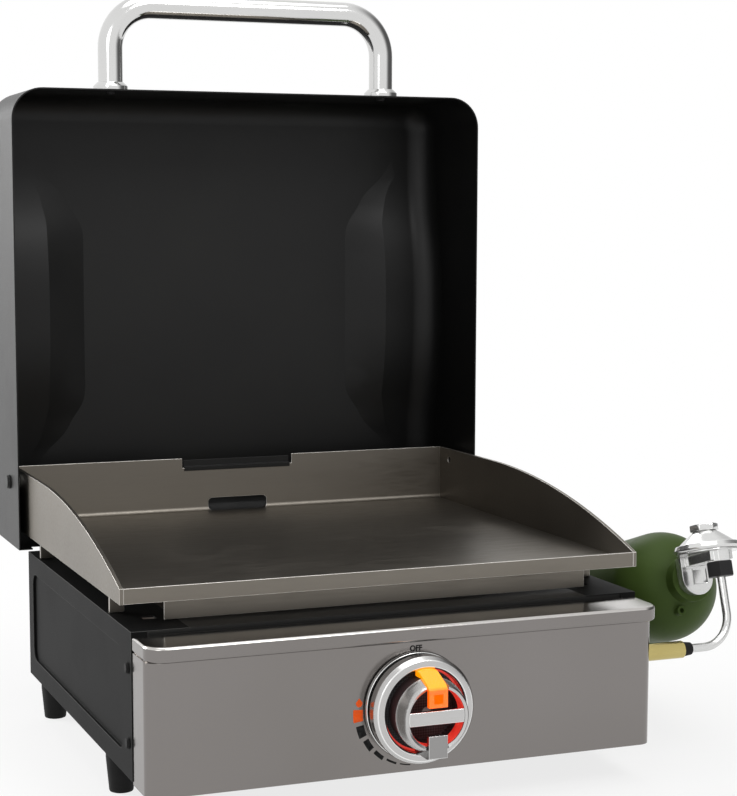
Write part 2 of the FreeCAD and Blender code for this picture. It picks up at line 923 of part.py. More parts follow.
def bridge_profile(sign, slot=False):
    """The strip that runs from the big ring's bore in over the nose, or the slot for it."""
    front = "knob_nose + lens_proud"
    piece = "lens" if sign > 0 else "tail"
    inner = f"{piece}_reach"
    back = "knob_ring_back + knob_ring_depth - lens_root"
    outside = [
        ("knob_ring_bore - running_gap", back),
        ("knob_ring_bore - running_gap", "knob_ring_back + knob_ring_depth"),
        (f"{piece}_shoulder", f"{front} - lens_thickness"),
        (f"{piece}_crest", front),
    ]
    if slot:
        outside = [("knob_ring_radius", back), ("knob_ring_radius", front)]
    corners = [
        ("knob_core_radius + running_gap", back),
        *outside,
        (inner, front),
        (inner, f"{front} - lens_thickness"),
        ("knob_nose_bore - lens_lap", f"{front} - lens_thickness"),
        ("knob_core_radius + running_gap", "knob_ring_back + knob_core_depth"),
    ]
    return [(f"-({out})", f"({'-' if sign < 0 else ''}({up}))") for up, out in corners]


def make_knob():
    base = knob_ring(
        "knob_base_turned",
        [
            ("knob_core_radius", "0"),
            ("knob_base_radius", "0"),
            ("knob_base_radius - edge_break", "knob_base_thickness"),
            ("knob_core_radius", "knob_base_thickness"),
        ],
    )
    node(base, "knob_base_ring")
    front = "knob_ring_back + knob_ring_depth"
    ring = knob_ring(
        "knob_ring_turned",
        [
            ("knob_ring_bore", "knob_ring_back"),
            ("knob_ring_radius", "knob_ring_back"),
            ("knob_ring_radius", f"{front} - knob_ring_bevel"),
            ("knob_ring_shoulder", f"{front} - edge_break"),
            ("knob_ring_bore + edge_break", front),
            ("knob_ring_bore", f"{front} - edge_break"),
        ],
    )
    node(ring, "knob_outer_ring")
    core_end = "knob_ring_back + knob_core_depth"
    at = ("0", "panel_face", "knob_z")
    for sign, label in ((1, "knob_lens"), (-1, "knob_tail")):
        strip = padded(label + "_strip", "YZ_Plane", bridge_profile(sign), "lens_width", at)
        limit = rod(label + "_limit", "knob_ring_bore - running_gap", "knob_nose + 2 * lens_proud", at, "-Y")
        node(common(label + "_fit", strip, limit), label)
    core = knob_ring(
        "knob_core_turned",
        [
            ("stem_radius", "knob_ring_back"),
            ("knob_ring_bore", "knob_ring_back"),
            ("knob_ring_bore", "knob_ring_back + knob_flange"),
            ("knob_core_radius", "knob_ring_back + knob_flange"),
            ("knob_core_radius", core_end),
            ("knob_nose_bore", core_end),
            ("knob_well_radius", "knob_floor"),
            ("stem_radius", "knob_floor"),
        ],
    )
    node(core, "knob_core")
    nose = knob_ring(
        "knob_nose_turned",
        [
            ("knob_nose_bore", core_end),
            ("knob_rim_radius", core_end),
            ("knob_rim_radius", f"{core_end} + knob_rim_height"),
            ("knob_nose_radius", "knob_nose - edge_break"),
            ("knob_nose_radius - edge_break", "knob_nose"),
            ("knob_nose_bore", "knob_nose - edge_break"),
        ],
    )
    slots = []
    for sign in (1, -1):
        slots.append(padded("knob_slot", "YZ_Plane", bridge_profile(sign, True), "lens_width", at))
    node(cut("knob_nose_cut", nose, *slots), "knob_nose_ring")
    bar_z = ("knob_z - knob_bar_height / 2", "knob_z + knob_bar_height / 2")
    bar_front = "panel_face - knob_nose + edge_break"
    bar_y = (bar_front, f"{bar_front} + knob_bar_depth")
    bar = box("knob_bar_block", ("-knob_nose_bore", "knob_nose_bore"), bar_y, bar_z)
    bore = rod("knob_bar_limit", "knob_nose_bore", "knob_nose", at, "-Y")
    node(common("knob_bar", bar, bore), "knob_crossbar")
    stem_end = "plug_length - plug_floor - knob_travel - edge_break + panel_sheet"
    node(
        rod(
            "stem",
            "stem_radius",
            f"{stem_end} + knob_floor - stem_drop",
            ("0", "panel_face - knob_floor + stem_drop", "knob_z"),
            "Y",
        ),
        "knob_stem",
    )


# Cooking top
def make_griddle():
    front, back = "griddle_front", "griddle_back"
    bottom, floor = "griddle_bottom", "griddle_bottom + floor_thickness"
    tray = padded(
        "griddle_sheet",
        "YZ_Plane",
        [
            (front, bottom),
            (back, bottom),
            (back, "wall_top"),
            ("wall_inside", "wall_top"),
            ("wall_inside", floor),
            (f"{front} + wall_thickness", floor),
            (f"{front} + wall_thickness", "lip_crest"),
            (front, "lip_crest"),
        ],
        "2 * griddle_inside",
    )
    floor_z = num(floor)
    bent = rounded(
        "griddle_bent",
        tray,
        "bend_radius",
        lambda heading, middle: abs(heading.x) > 0.9 and abs(middle.z - floor_z) < 0.1,
    )
    through = ("wall_inside - cut_over", "griddle_back + cut_over")
    notch = box(
        "griddle_notch",
        ("-notch_half_width", "notch_half_width"),
        through,
        ("wall_top - notch_depth", "wall_top + cut_over"),
    )
    drain = padded(
        "griddle_drain",
        "XZ_Plane",
        [
            ("-drain_half_width", f"{bottom} + drain_height"),
            ("-drain_half_width", f"{bottom} + drain_chamfer"),
            ("drain_chamfer - drain_half_width", f"{bottom} - cut_over"),
            ("drain_half_width - drain_chamfer", f"{bottom} - cut_over"),
            ("drain_half_width", f"{bottom} + drain_chamfer"),
            ("drain_half_width", f"{bottom} + drain_height"),
        ],
        "4 * wall_thickness",
        ("0", "griddle_back", "0"),
    )
    drain_top = num(f"{bottom} + drain_height")
    drain_soft = rounded(
        "griddle_drain_soft",
        drain,
        "drain_corner",
        lambda heading, middle: abs(heading.y) > 0.9 and abs(middle.z - drain_top) < 0.1,
    )
    node(cut("griddle_tray_cut", bent, notch, drain_soft), "griddle_tray")
    for side, across in SIDES:
        node(side_wall(side, across), f"griddle_{side}_wall")
    make_legs()


def side_wall(side, across):
    """A side plate whose top runs level, then bows down to the front lip."""
    plate_x = ("griddle_inside", "griddle_half_width")
    if across == "-1":
        plate_x = ("-griddle_half_width", "-griddle_inside")
    crest = "griddle_front + wall_crest_run"
    height = ("griddle_bottom", "wall_top")
    level = box("wall_level", plate_x, (crest, "griddle_back"), height)
    sloped = box("wall_sloped", plate_x, ("griddle_front", crest), height)
    drop = "(wall_top - lip_crest)"
    bow = f"(wall_crest_run * wall_crest_run + {drop} * {drop}) / (2 * {drop})"
    disc_at = ("-2 * griddle_half_width", crest, f"wall_top - {bow}")
    disc = rod("wall_bow", bow, "4 * griddle_half_width", disc_at, "X")
    whole = fuse(f"wall_{side}", level, common("wall_curve", sloped, disc))
    hole_at = ("-2 * griddle_half_width", "pivot_y", "pivot_z")
    hole = rod("wall_pivot_hole", "pivot_thread_radius", "4 * griddle_half_width", hole_at, "X")
    return cut(f"wall_{side}_cut", whole, hole)


def make_legs():
    for end, setback in (("front", "front_leg_y"), ("rear", "rear_leg_y")):
        legs = []
        for side, across in SIDES:
            middle = f"{across} * leg_spread"
            legs.append(
                box(
                    f"leg_{end}_{side}",
                    (f"{middle} - leg_width / 2", f"{middle} + leg_width / 2"),
                    (f"griddle_front + {setback}", f"griddle_front + {setback} + leg_thickness"),
                    ("body_top", "griddle_bottom"),
                )
            )
        node(group(f"{end}_leg_pair", *legs), f"griddle_{end}_legs")
    guard_y = "griddle_front + guard_setback"
    guard = box(
        "guard_plate",
        ("-guard_half_width", "guard_half_width"),
        (guard_y, f"{guard_y} + guard_thickness"),
        ("body_top + guard_gap", "griddle_bottom"),
    )
    node(guard, "wind_guard")


def make_grease_cup():
    near = "griddle_back + running_gap"
    far = f"{near} + cup_depth"
    rim = "griddle_bottom - cup_below_floor"
    width = ("-cup_half_width", "cup_half_width")
    inside = ("cup_sheet - cup_half_width", "cup_half_width - cup_sheet")
    tub = box("cup_tub", width, (near, far), (f"{rim} - cup_height", rim))
    hollow = box(
        "cup_hollow",
        inside,
        (f"{near} + cup_sheet", f"{far} - cup_sheet"),
        (f"{rim} - cup_height + cup_sheet", f"{rim} + cup_sheet"),
    )
    inner_corner = "cup_corner - cup_sheet"
    tub_soft = rounded("cup_soft", tub, "cup_corner", lambda heading, middle: upright(heading))
    hollow_soft = rounded("cup_hollow_soft", hollow, inner_corner, lambda heading, middle: upright(heading))
    seat = "wall_top - notch_depth"
    top = f"{seat} + strip_height / 2"
    back_y = (near, f"{near} + cup_sheet")
    straps = []
    for side, across in SIDES:
        strap_x = ("cup_half_width - cup_corner - strap_width", "cup_half_width - cup_corner")
        if across == "-1":
            strap_x = ("cup_corner - cup_half_width", "cup_corner + strap_width - cup_half_width")
        straps.append(box("cup_strap", strap_x, back_y, (f"{rim} - cup_sheet", seat)))
    strip = box("cup_strip", width, back_y, (f"{seat} - strip_height / 2", top))
    lip_front = "wall_inside - running_gap - cup_sheet"
    tongue_z = (seat, f"{seat} + cup_sheet")
    tongue = box("cup_tongue", width, (lip_front, near), tongue_z)
    hook = box(
        "cup_hook",
        width,
        (lip_front, f"{lip_front} + cup_sheet"),
        (f"{seat} - hook_drop", f"{seat} + cup_sheet"),
    )
    bowl = cut("cup_bowl", tub_soft, hollow_soft)
    node(fuse("cup_whole", bowl, *straps, strip, tongue, hook), "grease_cup")


# Hood
def crease_at(waist, straight, tip, height):
    """How far out a crease is at a height from the hood's middle: straight, then flared to its tip."""
    run = num("emboss_half_height") - num(straight)
    share = max(0, abs(height) - num(straight)) / run
    return num(waist) + (num(tip) - num(waist)) * share ** num("emboss_flare")


def scoop_depth(height):
    """Depth of the scoops at a height from the hood's middle, eased in and out by two arcs."""
    rise = num("emboss_rise")
    ramp = num("emboss_ramp")
    radius = (ramp * ramp + rise * rise) / (4 * rise)
    run = num("emboss_half_height") - abs(height)
    if run < ramp / 2:
        return radius - math.sqrt(radius * radius - run * run)
    left = max(0, ramp - run)
    return rise - radius + math.sqrt(radius * radius - left * left)


def scoop_floor(back):
    """A block across the hood whose front is the floor of both scoops."""
    half = num("emboss_half_height")
    ramp = num("emboss_ramp")
    middle = num("hood_middle")
    width = 4 * num("hood_half_width")
    beyond = Vector(0, half, 0)

    def floor_at(height):
        return Vector(-width / 2, back - scoop_depth(height), middle + height)

    edges = []
    for sign in (-1, 1):
        stops = [floor_at(sign * (half - share * ramp / 4)) for share in range(5)]
        edges.append(Part.Arc(*stops[:3]).toShape())
        edges.append(Part.Arc(*stops[2:]).toShape())
        edges.append(Part.LineSegment(stops[0], stops[0] + beyond).toShape())
    edges.append(Part.LineSegment(floor_at(ramp - half), floor_at(half - ramp)).toShape())
    edges.append(Part.LineSegment(floor_at(-half) + beyond, floor_at(half) + beyond).toShape())
    wire = Part.Wire(Part.__sortEdges__(edges))
    return Part.Face(wire).extrude(Vector(width, 0, 0))


def scoop(side, back, inset):
    """The hollow pressed into one side of the hood's back: a lofted wall down to the floor."""
    half = num("emboss_half_height")
    beyond = num("emboss_rise")
    wide = side * 2 * num("hood_half_width")
    wires = []
    for step in range(-SCOOP_STEPS, SCOOP_STEPS + 1):
        share = step / SCOOP_STEPS
        height = half * share
        depth = scoop_depth(height)
        inner_tip = "emboss_tip - emboss_tip_draft"
        inner = side * (crease_at("crease_inner", "crease_inner_straight", inner_tip, height) - inset)
        outer = side * (crease_at("crease_outer", "crease_outer_straight", "emboss_tip", height) - inset)
        corners = [
            (inner, back),
            (2 * outer - inner, back - 2 * depth),
            (wide, back - 2 * depth),
            (wide, back + beyond),
            (inner, back + beyond),
        ]
        level = num("hood_middle") + height
        wires.append(Part.makePolygon([Vector(x, y, level) for x, y in corners + corners[:1]]))
    return Part.makeLoft(wires, True, False).common(scoop_floor(back))


def hood_skin(inset):
    """The pressed pan with a scoop in from each side, shrunk by an inset."""
    half_width = num("hood_half_width") - inset
    low = num("hood_bottom") + inset
    high = num("hood_top") - inset
    rim = num("hood_rim_y") - (num("cut_over") if inset else 0)
    rise = num("emboss_rise")
    back = num("hood_rim_y + hood_depth + emboss_rise") - inset
    pan = Part.makeBox(2 * half_width, back - rim, high - low, Vector(-half_width, rim, low))
    corner = num("hood_corner") - inset
    along = [e for e in pan.Edges if abs(e.tangentAt(e.FirstParameter).y) > 0.9]
    pan = pan.makeFillet(corner, [e for e in along if e.CenterOfMass.z > num("hood_middle")])
    pan = pan.cut([scoop(side, back, inset) for side in (-1, 1)])
    near = num("running_gap")

    def on_outline(edge):
        spot = edge.valueAt((edge.FirstParameter + edge.LastParameter) / 2)
        if spot.y < back - rise - 2 * near:
            return False
        on_side = abs(abs(spot.x) - half_width) < near
        on_end = min(abs(spot.z - low), abs(spot.z - high)) < near
        in_corner = abs(spot.x) > half_width - corner and spot.z > high - corner
        return on_side or on_end or in_corner

    outline_edges = [edge for edge in pan.Edges if on_outline(edge)]
    return pan.makeFillet(num("hood_edge_round") - inset, outline_edges)


def make_hood():
    sheet = num("hood_sheet")
    shell = feature("hood_pressing", hood_skin(0).cut(hood_skin(sheet)))
    rim = "hood_rim_y"
    clear = "body_half_width + hood_side_gap"
    heel = box(
        "hood_heel_cut",
        (f"-({clear})", clear),
        (f"{rim} - cut_over", f"{rim} + hood_setback"),
        ("hood_bottom - cut_over", "hood_bottom + hood_corner"),
    )
    gap = "cup_half_width + hood_cup_gap"
    cup_gap = box(
        "hood_cup_cut",
        (f"-({gap})", gap),
        (f"{rim} - cut_over", f"{rim} + hood_cup_reach"),
        ("hood_bottom - cut_over", "hood_bottom + hood_corner"),
    )
    axis = ("-2 * hood_half_width", "pivot_y", "pivot_z")
    pivots = rod("hood_pivot_hole", "pivot_radius + running_gap", "4 * hood_half_width", axis, "X")
    holes = [heel, cup_gap, pivots]
    for side, across in SIDES:
        at = (f"{across} * handle_spread", "handle_y", "hood_top - 2 * hood_sheet")
        holes.append(rod("hood_handle_hole", "screw_radius", "3 * hood_sheet", at))
    node(cut("hood_cut", shell, *holes), "hood_shell")


def make_handle():
    spread = num("handle_spread")
    handle_y = num("handle_y")
    foot = num("hood_top")
    top = foot + num("handle_rise - handle_radius")
    points = [
        Vector(-spread, handle_y, foot),
        Vector(-spread, handle_y, top),
        Vector(spread, handle_y, top),
        Vector(spread, handle_y, foot),
    ]
    bend = num("handle_bend")
    outside = bent_rod(points, bend, num("handle_radius"))
    inside = bent_rod(points, bend, num("handle_radius - handle_wall"))
    node(feature("handle_tube", outside.cut(inside)), "hood_handle")
    bezels, inserts, screws = [], [], []
    for side, across in SIDES:
        at = (f"{across} * handle_spread", "handle_y", "hood_top")
        bezels.append(
            turned(
                f"bezel_{side}",
                [
                    ("handle_radius + running_gap", "0"),
                    ("bezel_radius", "0"),
                    ("bezel_radius", "bezel_height / 2"),
                    ("handle_radius + edge_break", "bezel_height"),
                    ("handle_radius + running_gap", "bezel_height"),
                ],
                at,
            )
        )
        inserts.append(
            turned(
                f"insert_{side}",
                [
                    ("screw_radius", "0"),
                    ("handle_radius - handle_wall - running_gap", "0"),
                    ("handle_radius - handle_wall - running_gap", "insert_length"),
                    ("screw_radius", "insert_length"),
                ],
                at,
            )
        )
        screws.append(screw(f"handle_screw_{side}", (*at[:2], "hood_top - hood_sheet"), "-Z"))
    node(group("bezel_pair", *bezels), "handle_bezels")
    node(group("insert_pair", *inserts), "handle_inserts")
    node(group("handle_screw_pair", *screws), "handle_screws")


def make_pivots():
    for side, across in SIDES:
        direction = "X" if across == "1" else "-X"
        at = (f"{across} * griddle_half_width", "pivot_y", "pivot_z")
        reach = "hood_half_width - griddle_half_width + end_play"
        node(
            turned(
                f"pivot_{side}",
                [
                    ("0", "edge_break - wall_thickness"),
                    ("pivot_thread_radius - running_gap", "edge_break - wall_thickness"),
                    ("pivot_thread_radius - running_gap", "0"),
                    ("pivot_radius", "0"),
                    ("pivot_radius", reach),
                    ("pivot_head_radius", reach),
                    ("pivot_head_radius - edge_break", f"{reach} + pivot_head_height"),
                    ("0", f"{reach} + pivot_head_height"),
                ],
                at,
                direction,
            ),
            f"hood_pivot_{side}",
        )
        width = "hood_half_width - hood_sheet - griddle_half_width - end_play"
        node(
            turned(
                f"spacer_{side}",
                [
                    ("pivot_radius + running_gap", "0"),
                    ("spacer_radius", "0"),
                    ("spacer_radius", width),
                    ("pivot_radius + running_gap", width),
                ],
                at,
                direction,
            ),
            f"hood_spacer_{side}",
        )


# Gas line
def make_gas_line():
    start = Vector(num("panel_half_width + pipe_seat"), num("inlet_y"), num("inlet_z"))
    seat = num("valve_port_z")
    corner = Vector(0, start.y, start.z)
    points = [start, corner, Vector(0, start.y, seat)]
    pipe = bent_rod(points, num("manifold_bend"), num("manifold_radius"))
    node(feature("manifold", pipe), "manifold_pipe")
    wall = "panel_half_width"
    at = (wall, "inlet_y", "inlet_z")
    fitting = rod("fitting_bar", "fitting_radius", "fitting_length", at, "X")
    pipe_hole = rod("fitting_seat", "manifold_radius + running_gap", "pipe_seat", at, "X")
    tube_at = (f"{wall} + fitting_length - tube_seat", "inlet_y", "inlet_z")
    tube_hole = rod("fitting_tube_seat", "tube_radius + running_gap", "tube_seat", tube_at, "X")
    node(cut("fitting_cut", fitting, pipe_hole, tube_hole), "inlet_fitting")
    inside = (f"{wall} - panel_sheet - locknut_height", "inlet_y", "inlet_z")
    nut = prism("locknut_bar", "locknut_radius", "locknut_height", inside, "X")
    nut_bore = rod("locknut_bore", "manifold_radius + running_gap", "locknut_height", inside, "X")
    node(cut("locknut_cut", nut, nut_bore), "inlet_locknut")
    seal_at = (f"{wall} + fitting_length", "inlet_y", "inlet_z")
    node(
        turned(
            "seal_turned",
            [
                ("tube_radius + running_gap", "0"),
                ("seal_radius", "0"),
                ("seal_radius - edge_break", "seal_length"),
                ("tube_radius + running_gap", "seal_length"),
            ],
            seal_at,
            "X",
        ),
        "tube_seal",
    )
    lean = math.radians(num("gas_tilt"))
    rise = num("nut_foot + nut_seat")
    tube_start = Vector(num(tube_at[0]), start.y, start.z)
    tube_corner = Vector(num("gas_x"), start.y, start.z)
    tube_end = tube_corner + Vector(0, math.sin(lean) * rise, math.cos(lean) * rise)
    tube = bent_rod([tube_start, tube_corner, tube_end], num("tube_bend"), num("tube_radius"))
    node(feature("gas_tube_run", tube), "gas_tube")


def make_regulator():
    nut = prism("outlet_nut_bar", "nut_radius", "nut_height", ("0", "0", "nut_foot"))
    nut_bore = rod("outlet_nut_bore", "tube_radius + running_gap", "nut_seat", ("0", "0", "nut_foot"))
    node(swivelled(cut("outlet_nut_cut", nut, nut_bore)), "outlet_nut")
    outlet = prism("outlet_bar", "outlet_radius", "outlet_height", ("0", "0", "nut_foot + nut_height"))
    bowl = rod("bowl_disc", "bowl_radius - bowl_step", "bowl_height", ("0", "bowl_offset", "bowl_foot"))
    boss_y = ("boss_front", "boss_back")
    boss = box("boss_block", ("-boss_radius", "boss_radius"), boss_y, ("bottle_axis_rise", "bowl_foot"))
    boss_at = ("0", "boss_front", "bottle_axis_rise")
    boss_round = rod("boss_round", "boss_radius", "boss_back - boss_front", boss_at, "Y")
    neck_y = ("-outlet_radius / 2", "boss_front")
    neck_s = ("bowl_foot - boss_bridge_height", "bowl_foot")
    bridge = box("boss_bridge", ("-outlet_radius", "outlet_radius"), neck_y, neck_s)
    thread_at = ("0", "neck_end - thread_length - end_play", "bottle_axis_rise")
    thread = rod("boss_thread", "thread_radius + running_gap", "2 * thread_length", thread_at, "Y")
    whole = fuse("regulator_whole", outlet, bowl, boss, boss_round, bridge)
    node(swivelled(cut("regulator_cut", whole, thread)), "regulator_body")
    cover = turned(
        "cover_turned",
        [
            ("0", "rim_foot"),
            ("bowl_radius - rim_round", "rim_foot"),
            ("bowl_radius", "rim_foot + rim_round"),
            ("bowl_radius", "cone_foot - 2 * rim_round"),
            ("bowl_radius - rim_round", "cone_foot"),
            ("cone_radius", "cone_foot"),
            ("cone_top_radius", "cone_foot + cone_height"),
            ("cap_stem_radius", "cap_foot"),
            ("0", "cap_foot"),
        ],
        ("0", "0", "0"),
    )
    node(swivelled(cover, q="bowl_offset"), "regulator_cover")
    cap = turned(
        "cap_turned",
        [
            ("0", "0"),
            ("cap_radius", "0"),
            ("cap_radius", "cap_height - edge_break"),
            ("cap_radius - edge_break", "cap_height"),
            ("0", "cap_height"),
        ],
        ("0", "0", "0"),
    )
    node(swivelled(cap, q="bowl_offset", s="cap_foot"), "regulator_cap")


def bottle_can(name, wall):
    """The bottle's can with a domed shoulder and a round base, shrunk by a wall."""
    top = f"{wall} - bottle_dome"
    length = f"bottle_dome + bottle_length - 2 * {wall}"
    blank = rod(name + "_blank", f"bottle_radius - {wall}", length, ("0", "0", top))
    crown = num(top)
    foot = num(f"bottle_length - {wall}")
    shoulder = f"bottle_dome - {wall}"
    base = f"bottle_base_round - {wall}"
    domed = rounded(name + "_domed", blank, shoulder, lambda heading, middle: middle.z < crown + 0.1)
    return rounded(name, domed, base, lambda heading, middle: middle.z > foot - 0.1)


def make_bottle():
    spot = {"q": "bottle_shoulder", "s": "bottle_axis_rise", "direction": "Y"}
    neck_top = "neck_end - bottle_shoulder"
    neck = rod("bottle_neck", "neck_radius", f"-({neck_top}) - neck_root", ("0", "0", neck_top))
    ring = turned(
        "bottle_foot",
        [
            ("bottle_foot_radius - foot_ring", "bottle_length - bottle_wall"),
            ("bottle_foot_radius", "bottle_length - bottle_wall"),
            ("bottle_foot_radius", "bottle_length + bottle_foot_height"),
            ("bottle_foot_radius - foot_ring", "bottle_length + bottle_foot_height"),
        ],
        ("0", "0", "0"),
    )
    outside = swivelled(fuse("bottle_outside", bottle_can("bottle_skin", "0"), neck, ring), **spot)
    bore = rod("bottle_bore", "neck_bore", f"-({neck_top})", ("0", "0", neck_top))
    inside = swivelled(fuse("bottle_inside", bottle_can("bottle_hollow", "bottle_wall"), bore), **spot)
    node(cut("bottle_shell", outside, inside), "gas_bottle")
    collar = turned(
        "collar_turned",
        [
            ("neck_bore", "0"),
            ("thread_radius", "0"),
            ("thread_radius", "thread_length"),
            ("neck_bore", "thread_length"),
        ],
        ("0", "0", "0"),
    )
    node(swivelled(collar, q="neck_end", s="bottle_axis_rise", direction="-Y"), "bottle_thread")
    relief = turned(
        "relief_turned",
        [
            ("0", "0"),
            ("relief_radius", "0"),
            ("relief_radius", "relief_height"),
            ("relief_bore", "relief_height"),
            ("relief_bore", "relief_height - relief_well"),
            ("0", "relief_height - relief_well"),
        ],
        ("0", "0", "0"),
    )
    off_axis = "sqrt(relief_drop * relief_drop + relief_side * relief_side)"
    off_crown = f"({off_axis} - bottle_radius + bottle_dome)"
    sunk = f"bottle_shoulder - sqrt(bottle_dome * bottle_dome - {off_crown} * {off_crown}) + relief_sink"
    height = "bottle_axis_rise - relief_drop"
    stub = swivelled(relief, q=sunk, s=height, direction="-Y", side="-relief_side")
    node(cut("relief_fit", stub, outside), "relief_valve")


make_feet()
make_side_panels()
make_cross_walls()
make_front_panel()
make_burner()
make_valve()
make_igniter()
make_knob()
make_griddle()
make_grease_cup()
make_hood()
make_handle()
make_pivots()
make_gas_line()
make_regulator()
make_bottle()
doc.recompute()

# Nothing is written unless every object is sound
for piece in doc.Objects:
    if "Invalid" in piece.State or "Error" in piece.State:
        raise RuntimeError(f"{piece.Label} did not recompute: {piece.State}")
for piece in NODES:
    if piece.Shape.isNull() or not piece.Shape.isValid():
        raise RuntimeError(f"{piece.Label} has no valid shape")

os.makedirs("parts", exist_ok=True)
for piece in NODES:
    piece.Shape.exportStep(f"parts/{piece.Label}.step")
    print(piece.Label, len(piece.Shape.Solids), round(piece.Shape.Volume))
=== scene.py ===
import bpy
import bmesh
import json
import math
from mathutils import Matrix, Vector


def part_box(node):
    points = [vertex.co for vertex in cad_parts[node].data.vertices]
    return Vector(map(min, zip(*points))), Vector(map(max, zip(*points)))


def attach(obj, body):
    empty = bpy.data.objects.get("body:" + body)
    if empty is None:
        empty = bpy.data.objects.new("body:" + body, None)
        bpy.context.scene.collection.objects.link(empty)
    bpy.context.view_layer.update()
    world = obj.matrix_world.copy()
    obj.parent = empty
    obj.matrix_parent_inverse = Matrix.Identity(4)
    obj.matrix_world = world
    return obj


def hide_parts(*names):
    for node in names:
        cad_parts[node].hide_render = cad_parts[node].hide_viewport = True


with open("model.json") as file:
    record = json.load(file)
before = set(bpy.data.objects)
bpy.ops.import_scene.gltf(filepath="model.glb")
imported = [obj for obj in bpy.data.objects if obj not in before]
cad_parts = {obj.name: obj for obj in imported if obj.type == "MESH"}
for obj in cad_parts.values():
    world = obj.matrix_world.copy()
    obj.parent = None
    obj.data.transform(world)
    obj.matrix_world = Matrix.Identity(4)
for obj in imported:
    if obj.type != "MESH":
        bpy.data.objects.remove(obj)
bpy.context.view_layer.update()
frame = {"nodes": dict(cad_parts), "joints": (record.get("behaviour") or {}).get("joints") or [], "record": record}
nodes = frame["nodes"]
record = frame["record"]
scene = bpy.context.scene
bodyOf = {}
for bodyName, members in record["behaviour"]["bodies"].items():
    for member in members:
        bodyOf[member] = bodyName
slotOf = {}
for entry in record["subparts"]:
    slotOf[entry["node"]] = entry["material_slot"]
jointOf = {joint["name"]: joint for joint in frame["joints"]}
# The knob turns about this place on the front panel's face
knobCentre = jointOf["knob_turn"]["pos_m"]
knobAcross, panelFace, knobHeight = knobCentre
print("frame loaded:", len(nodes), "nodes")

# Camera at the photograph's viewing angle
cameraSetup = {
    "place": (-0.5523, -1.4968, 0.4452),
    "pitch": 83.541,
    "heading": -20.783,
    "lens": 83.89,
    "shift": (0.0615, 0.0405),
}
cameraData = bpy.data.cameras.new("studioCamera")
cameraData.sensor_fit = "VERTICAL"
cameraData.sensor_height = 36.0
cameraData.lens = cameraSetup["lens"]
cameraData.shift_x, cameraData.shift_y = cameraSetup["shift"]
cameraObject = bpy.data.objects.new("studioCamera", cameraData)
cameraObject.location = cameraSetup["place"]
cameraObject.rotation_euler = (math.radians(cameraSetup["pitch"]), 0, math.radians(cameraSetup["heading"]))
scene.collection.objects.link(cameraObject)
scene.camera = cameraObject
scene.view_settings.view_transform = "Standard"
print("camera placed")


# Small helpers for node trees
def addNode(tree, kind, **values):
    made = tree.nodes.new(kind)
    for key, value in values.items():
        setattr(made, key, value)
    return made


def feed(tree, socket, value):
    if isinstance(value, bpy.types.NodeSocket):
        tree.links.new(value, socket)
    else:
        socket.default_value = value


def mathNode(tree, operation, first, second, clamp=False):
    made = addNode(tree, "ShaderNodeMath", operation=operation, use_clamp=clamp)
    feed(tree, made.inputs[0], first)
    feed(tree, made.inputs[1], second)
    return made.outputs[0]


def spread(tree, value, low, high, fromLow=0.0, fromHigh=1.0):
    made = addNode(tree, "ShaderNodeMapRange")
    feed(tree, made.inputs["Value"], value)
    made.inputs["From Min"].default_value = fromLow
    made.inputs["From Max"].default_value = fromHigh
    made.inputs["To Min"].default_value = low
    made.inputs["To Max"].default_value = high
    return made.outputs["Result"]


def mixColour(tree, factor, first, second):
    made = addNode(tree, "ShaderNodeMix", data_type="RGBA")
    feed(tree, made.inputs["Factor"], factor)
    feed(tree, made.inputs["A"], first)
    feed(tree, made.inputs["B"], second)
    return made.outputs["Result"]


def srgb(code):
    out = []
    for place in (0, 2, 4):
        part = int(code[place:place + 2], 16) / 255
        out.append(part / 12.92 if part <= 0.04045 else ((part + 0.055) / 1.055) ** 2.4)
    return (*out, 1.0)


def objectPlace(tree, turn=(0, 0, 0), stretch=(1, 1, 1)):
    coords = addNode(tree, "ShaderNodeTexCoord")
    mapping = addNode(tree, "ShaderNodeMapping", vector_type="TEXTURE")
    mapping.inputs["Rotation"].default_value = turn
    mapping.inputs["Scale"].default_value = stretch
    tree.links.new(coords.outputs["Object"], mapping.inputs["Vector"])
    return mapping.outputs["Vector"]


def newMaterial(name):
    material = bpy.data.materials.new(name)
    material.use_nodes = True
    tree = material.node_tree
    return material, tree, tree.nodes["Principled BSDF"]


# Shared effects
noiseSetup = {"span": (0.3, 0.7), "fineDetail": 3.0, "broadDetail": 2.0, "roughness": 0.55}
smudgeSetup = {"span": (0.48, 0.66), "detail": 5.0, "roughness": 0.62}


def newGroup(name, inputs, outputs):
    tree = bpy.data.node_groups.new(name, "ShaderNodeTree")
    for label, kind, value in inputs:
        socket = tree.interface.new_socket(name=label, in_out="INPUT", socket_type=kind)
        if value is not None:
            socket.default_value = value
    for label, kind in outputs:
        tree.interface.new_socket(name=label, in_out="OUTPUT", socket_type=kind)
    return tree, addNode(tree, "NodeGroupInput"), addNode(tree, "NodeGroupOutput")


def noise(tree, vector, scale, detail, roughness):
    made = addNode(tree, "ShaderNodeTexNoise")
    feed(tree, made.inputs["Vector"], vector)
    feed(tree, made.inputs["Scale"], scale)
    made.inputs["Detail"].default_value = detail
    made.inputs["Roughness"].default_value = roughness
    return made.outputs["Fac"]


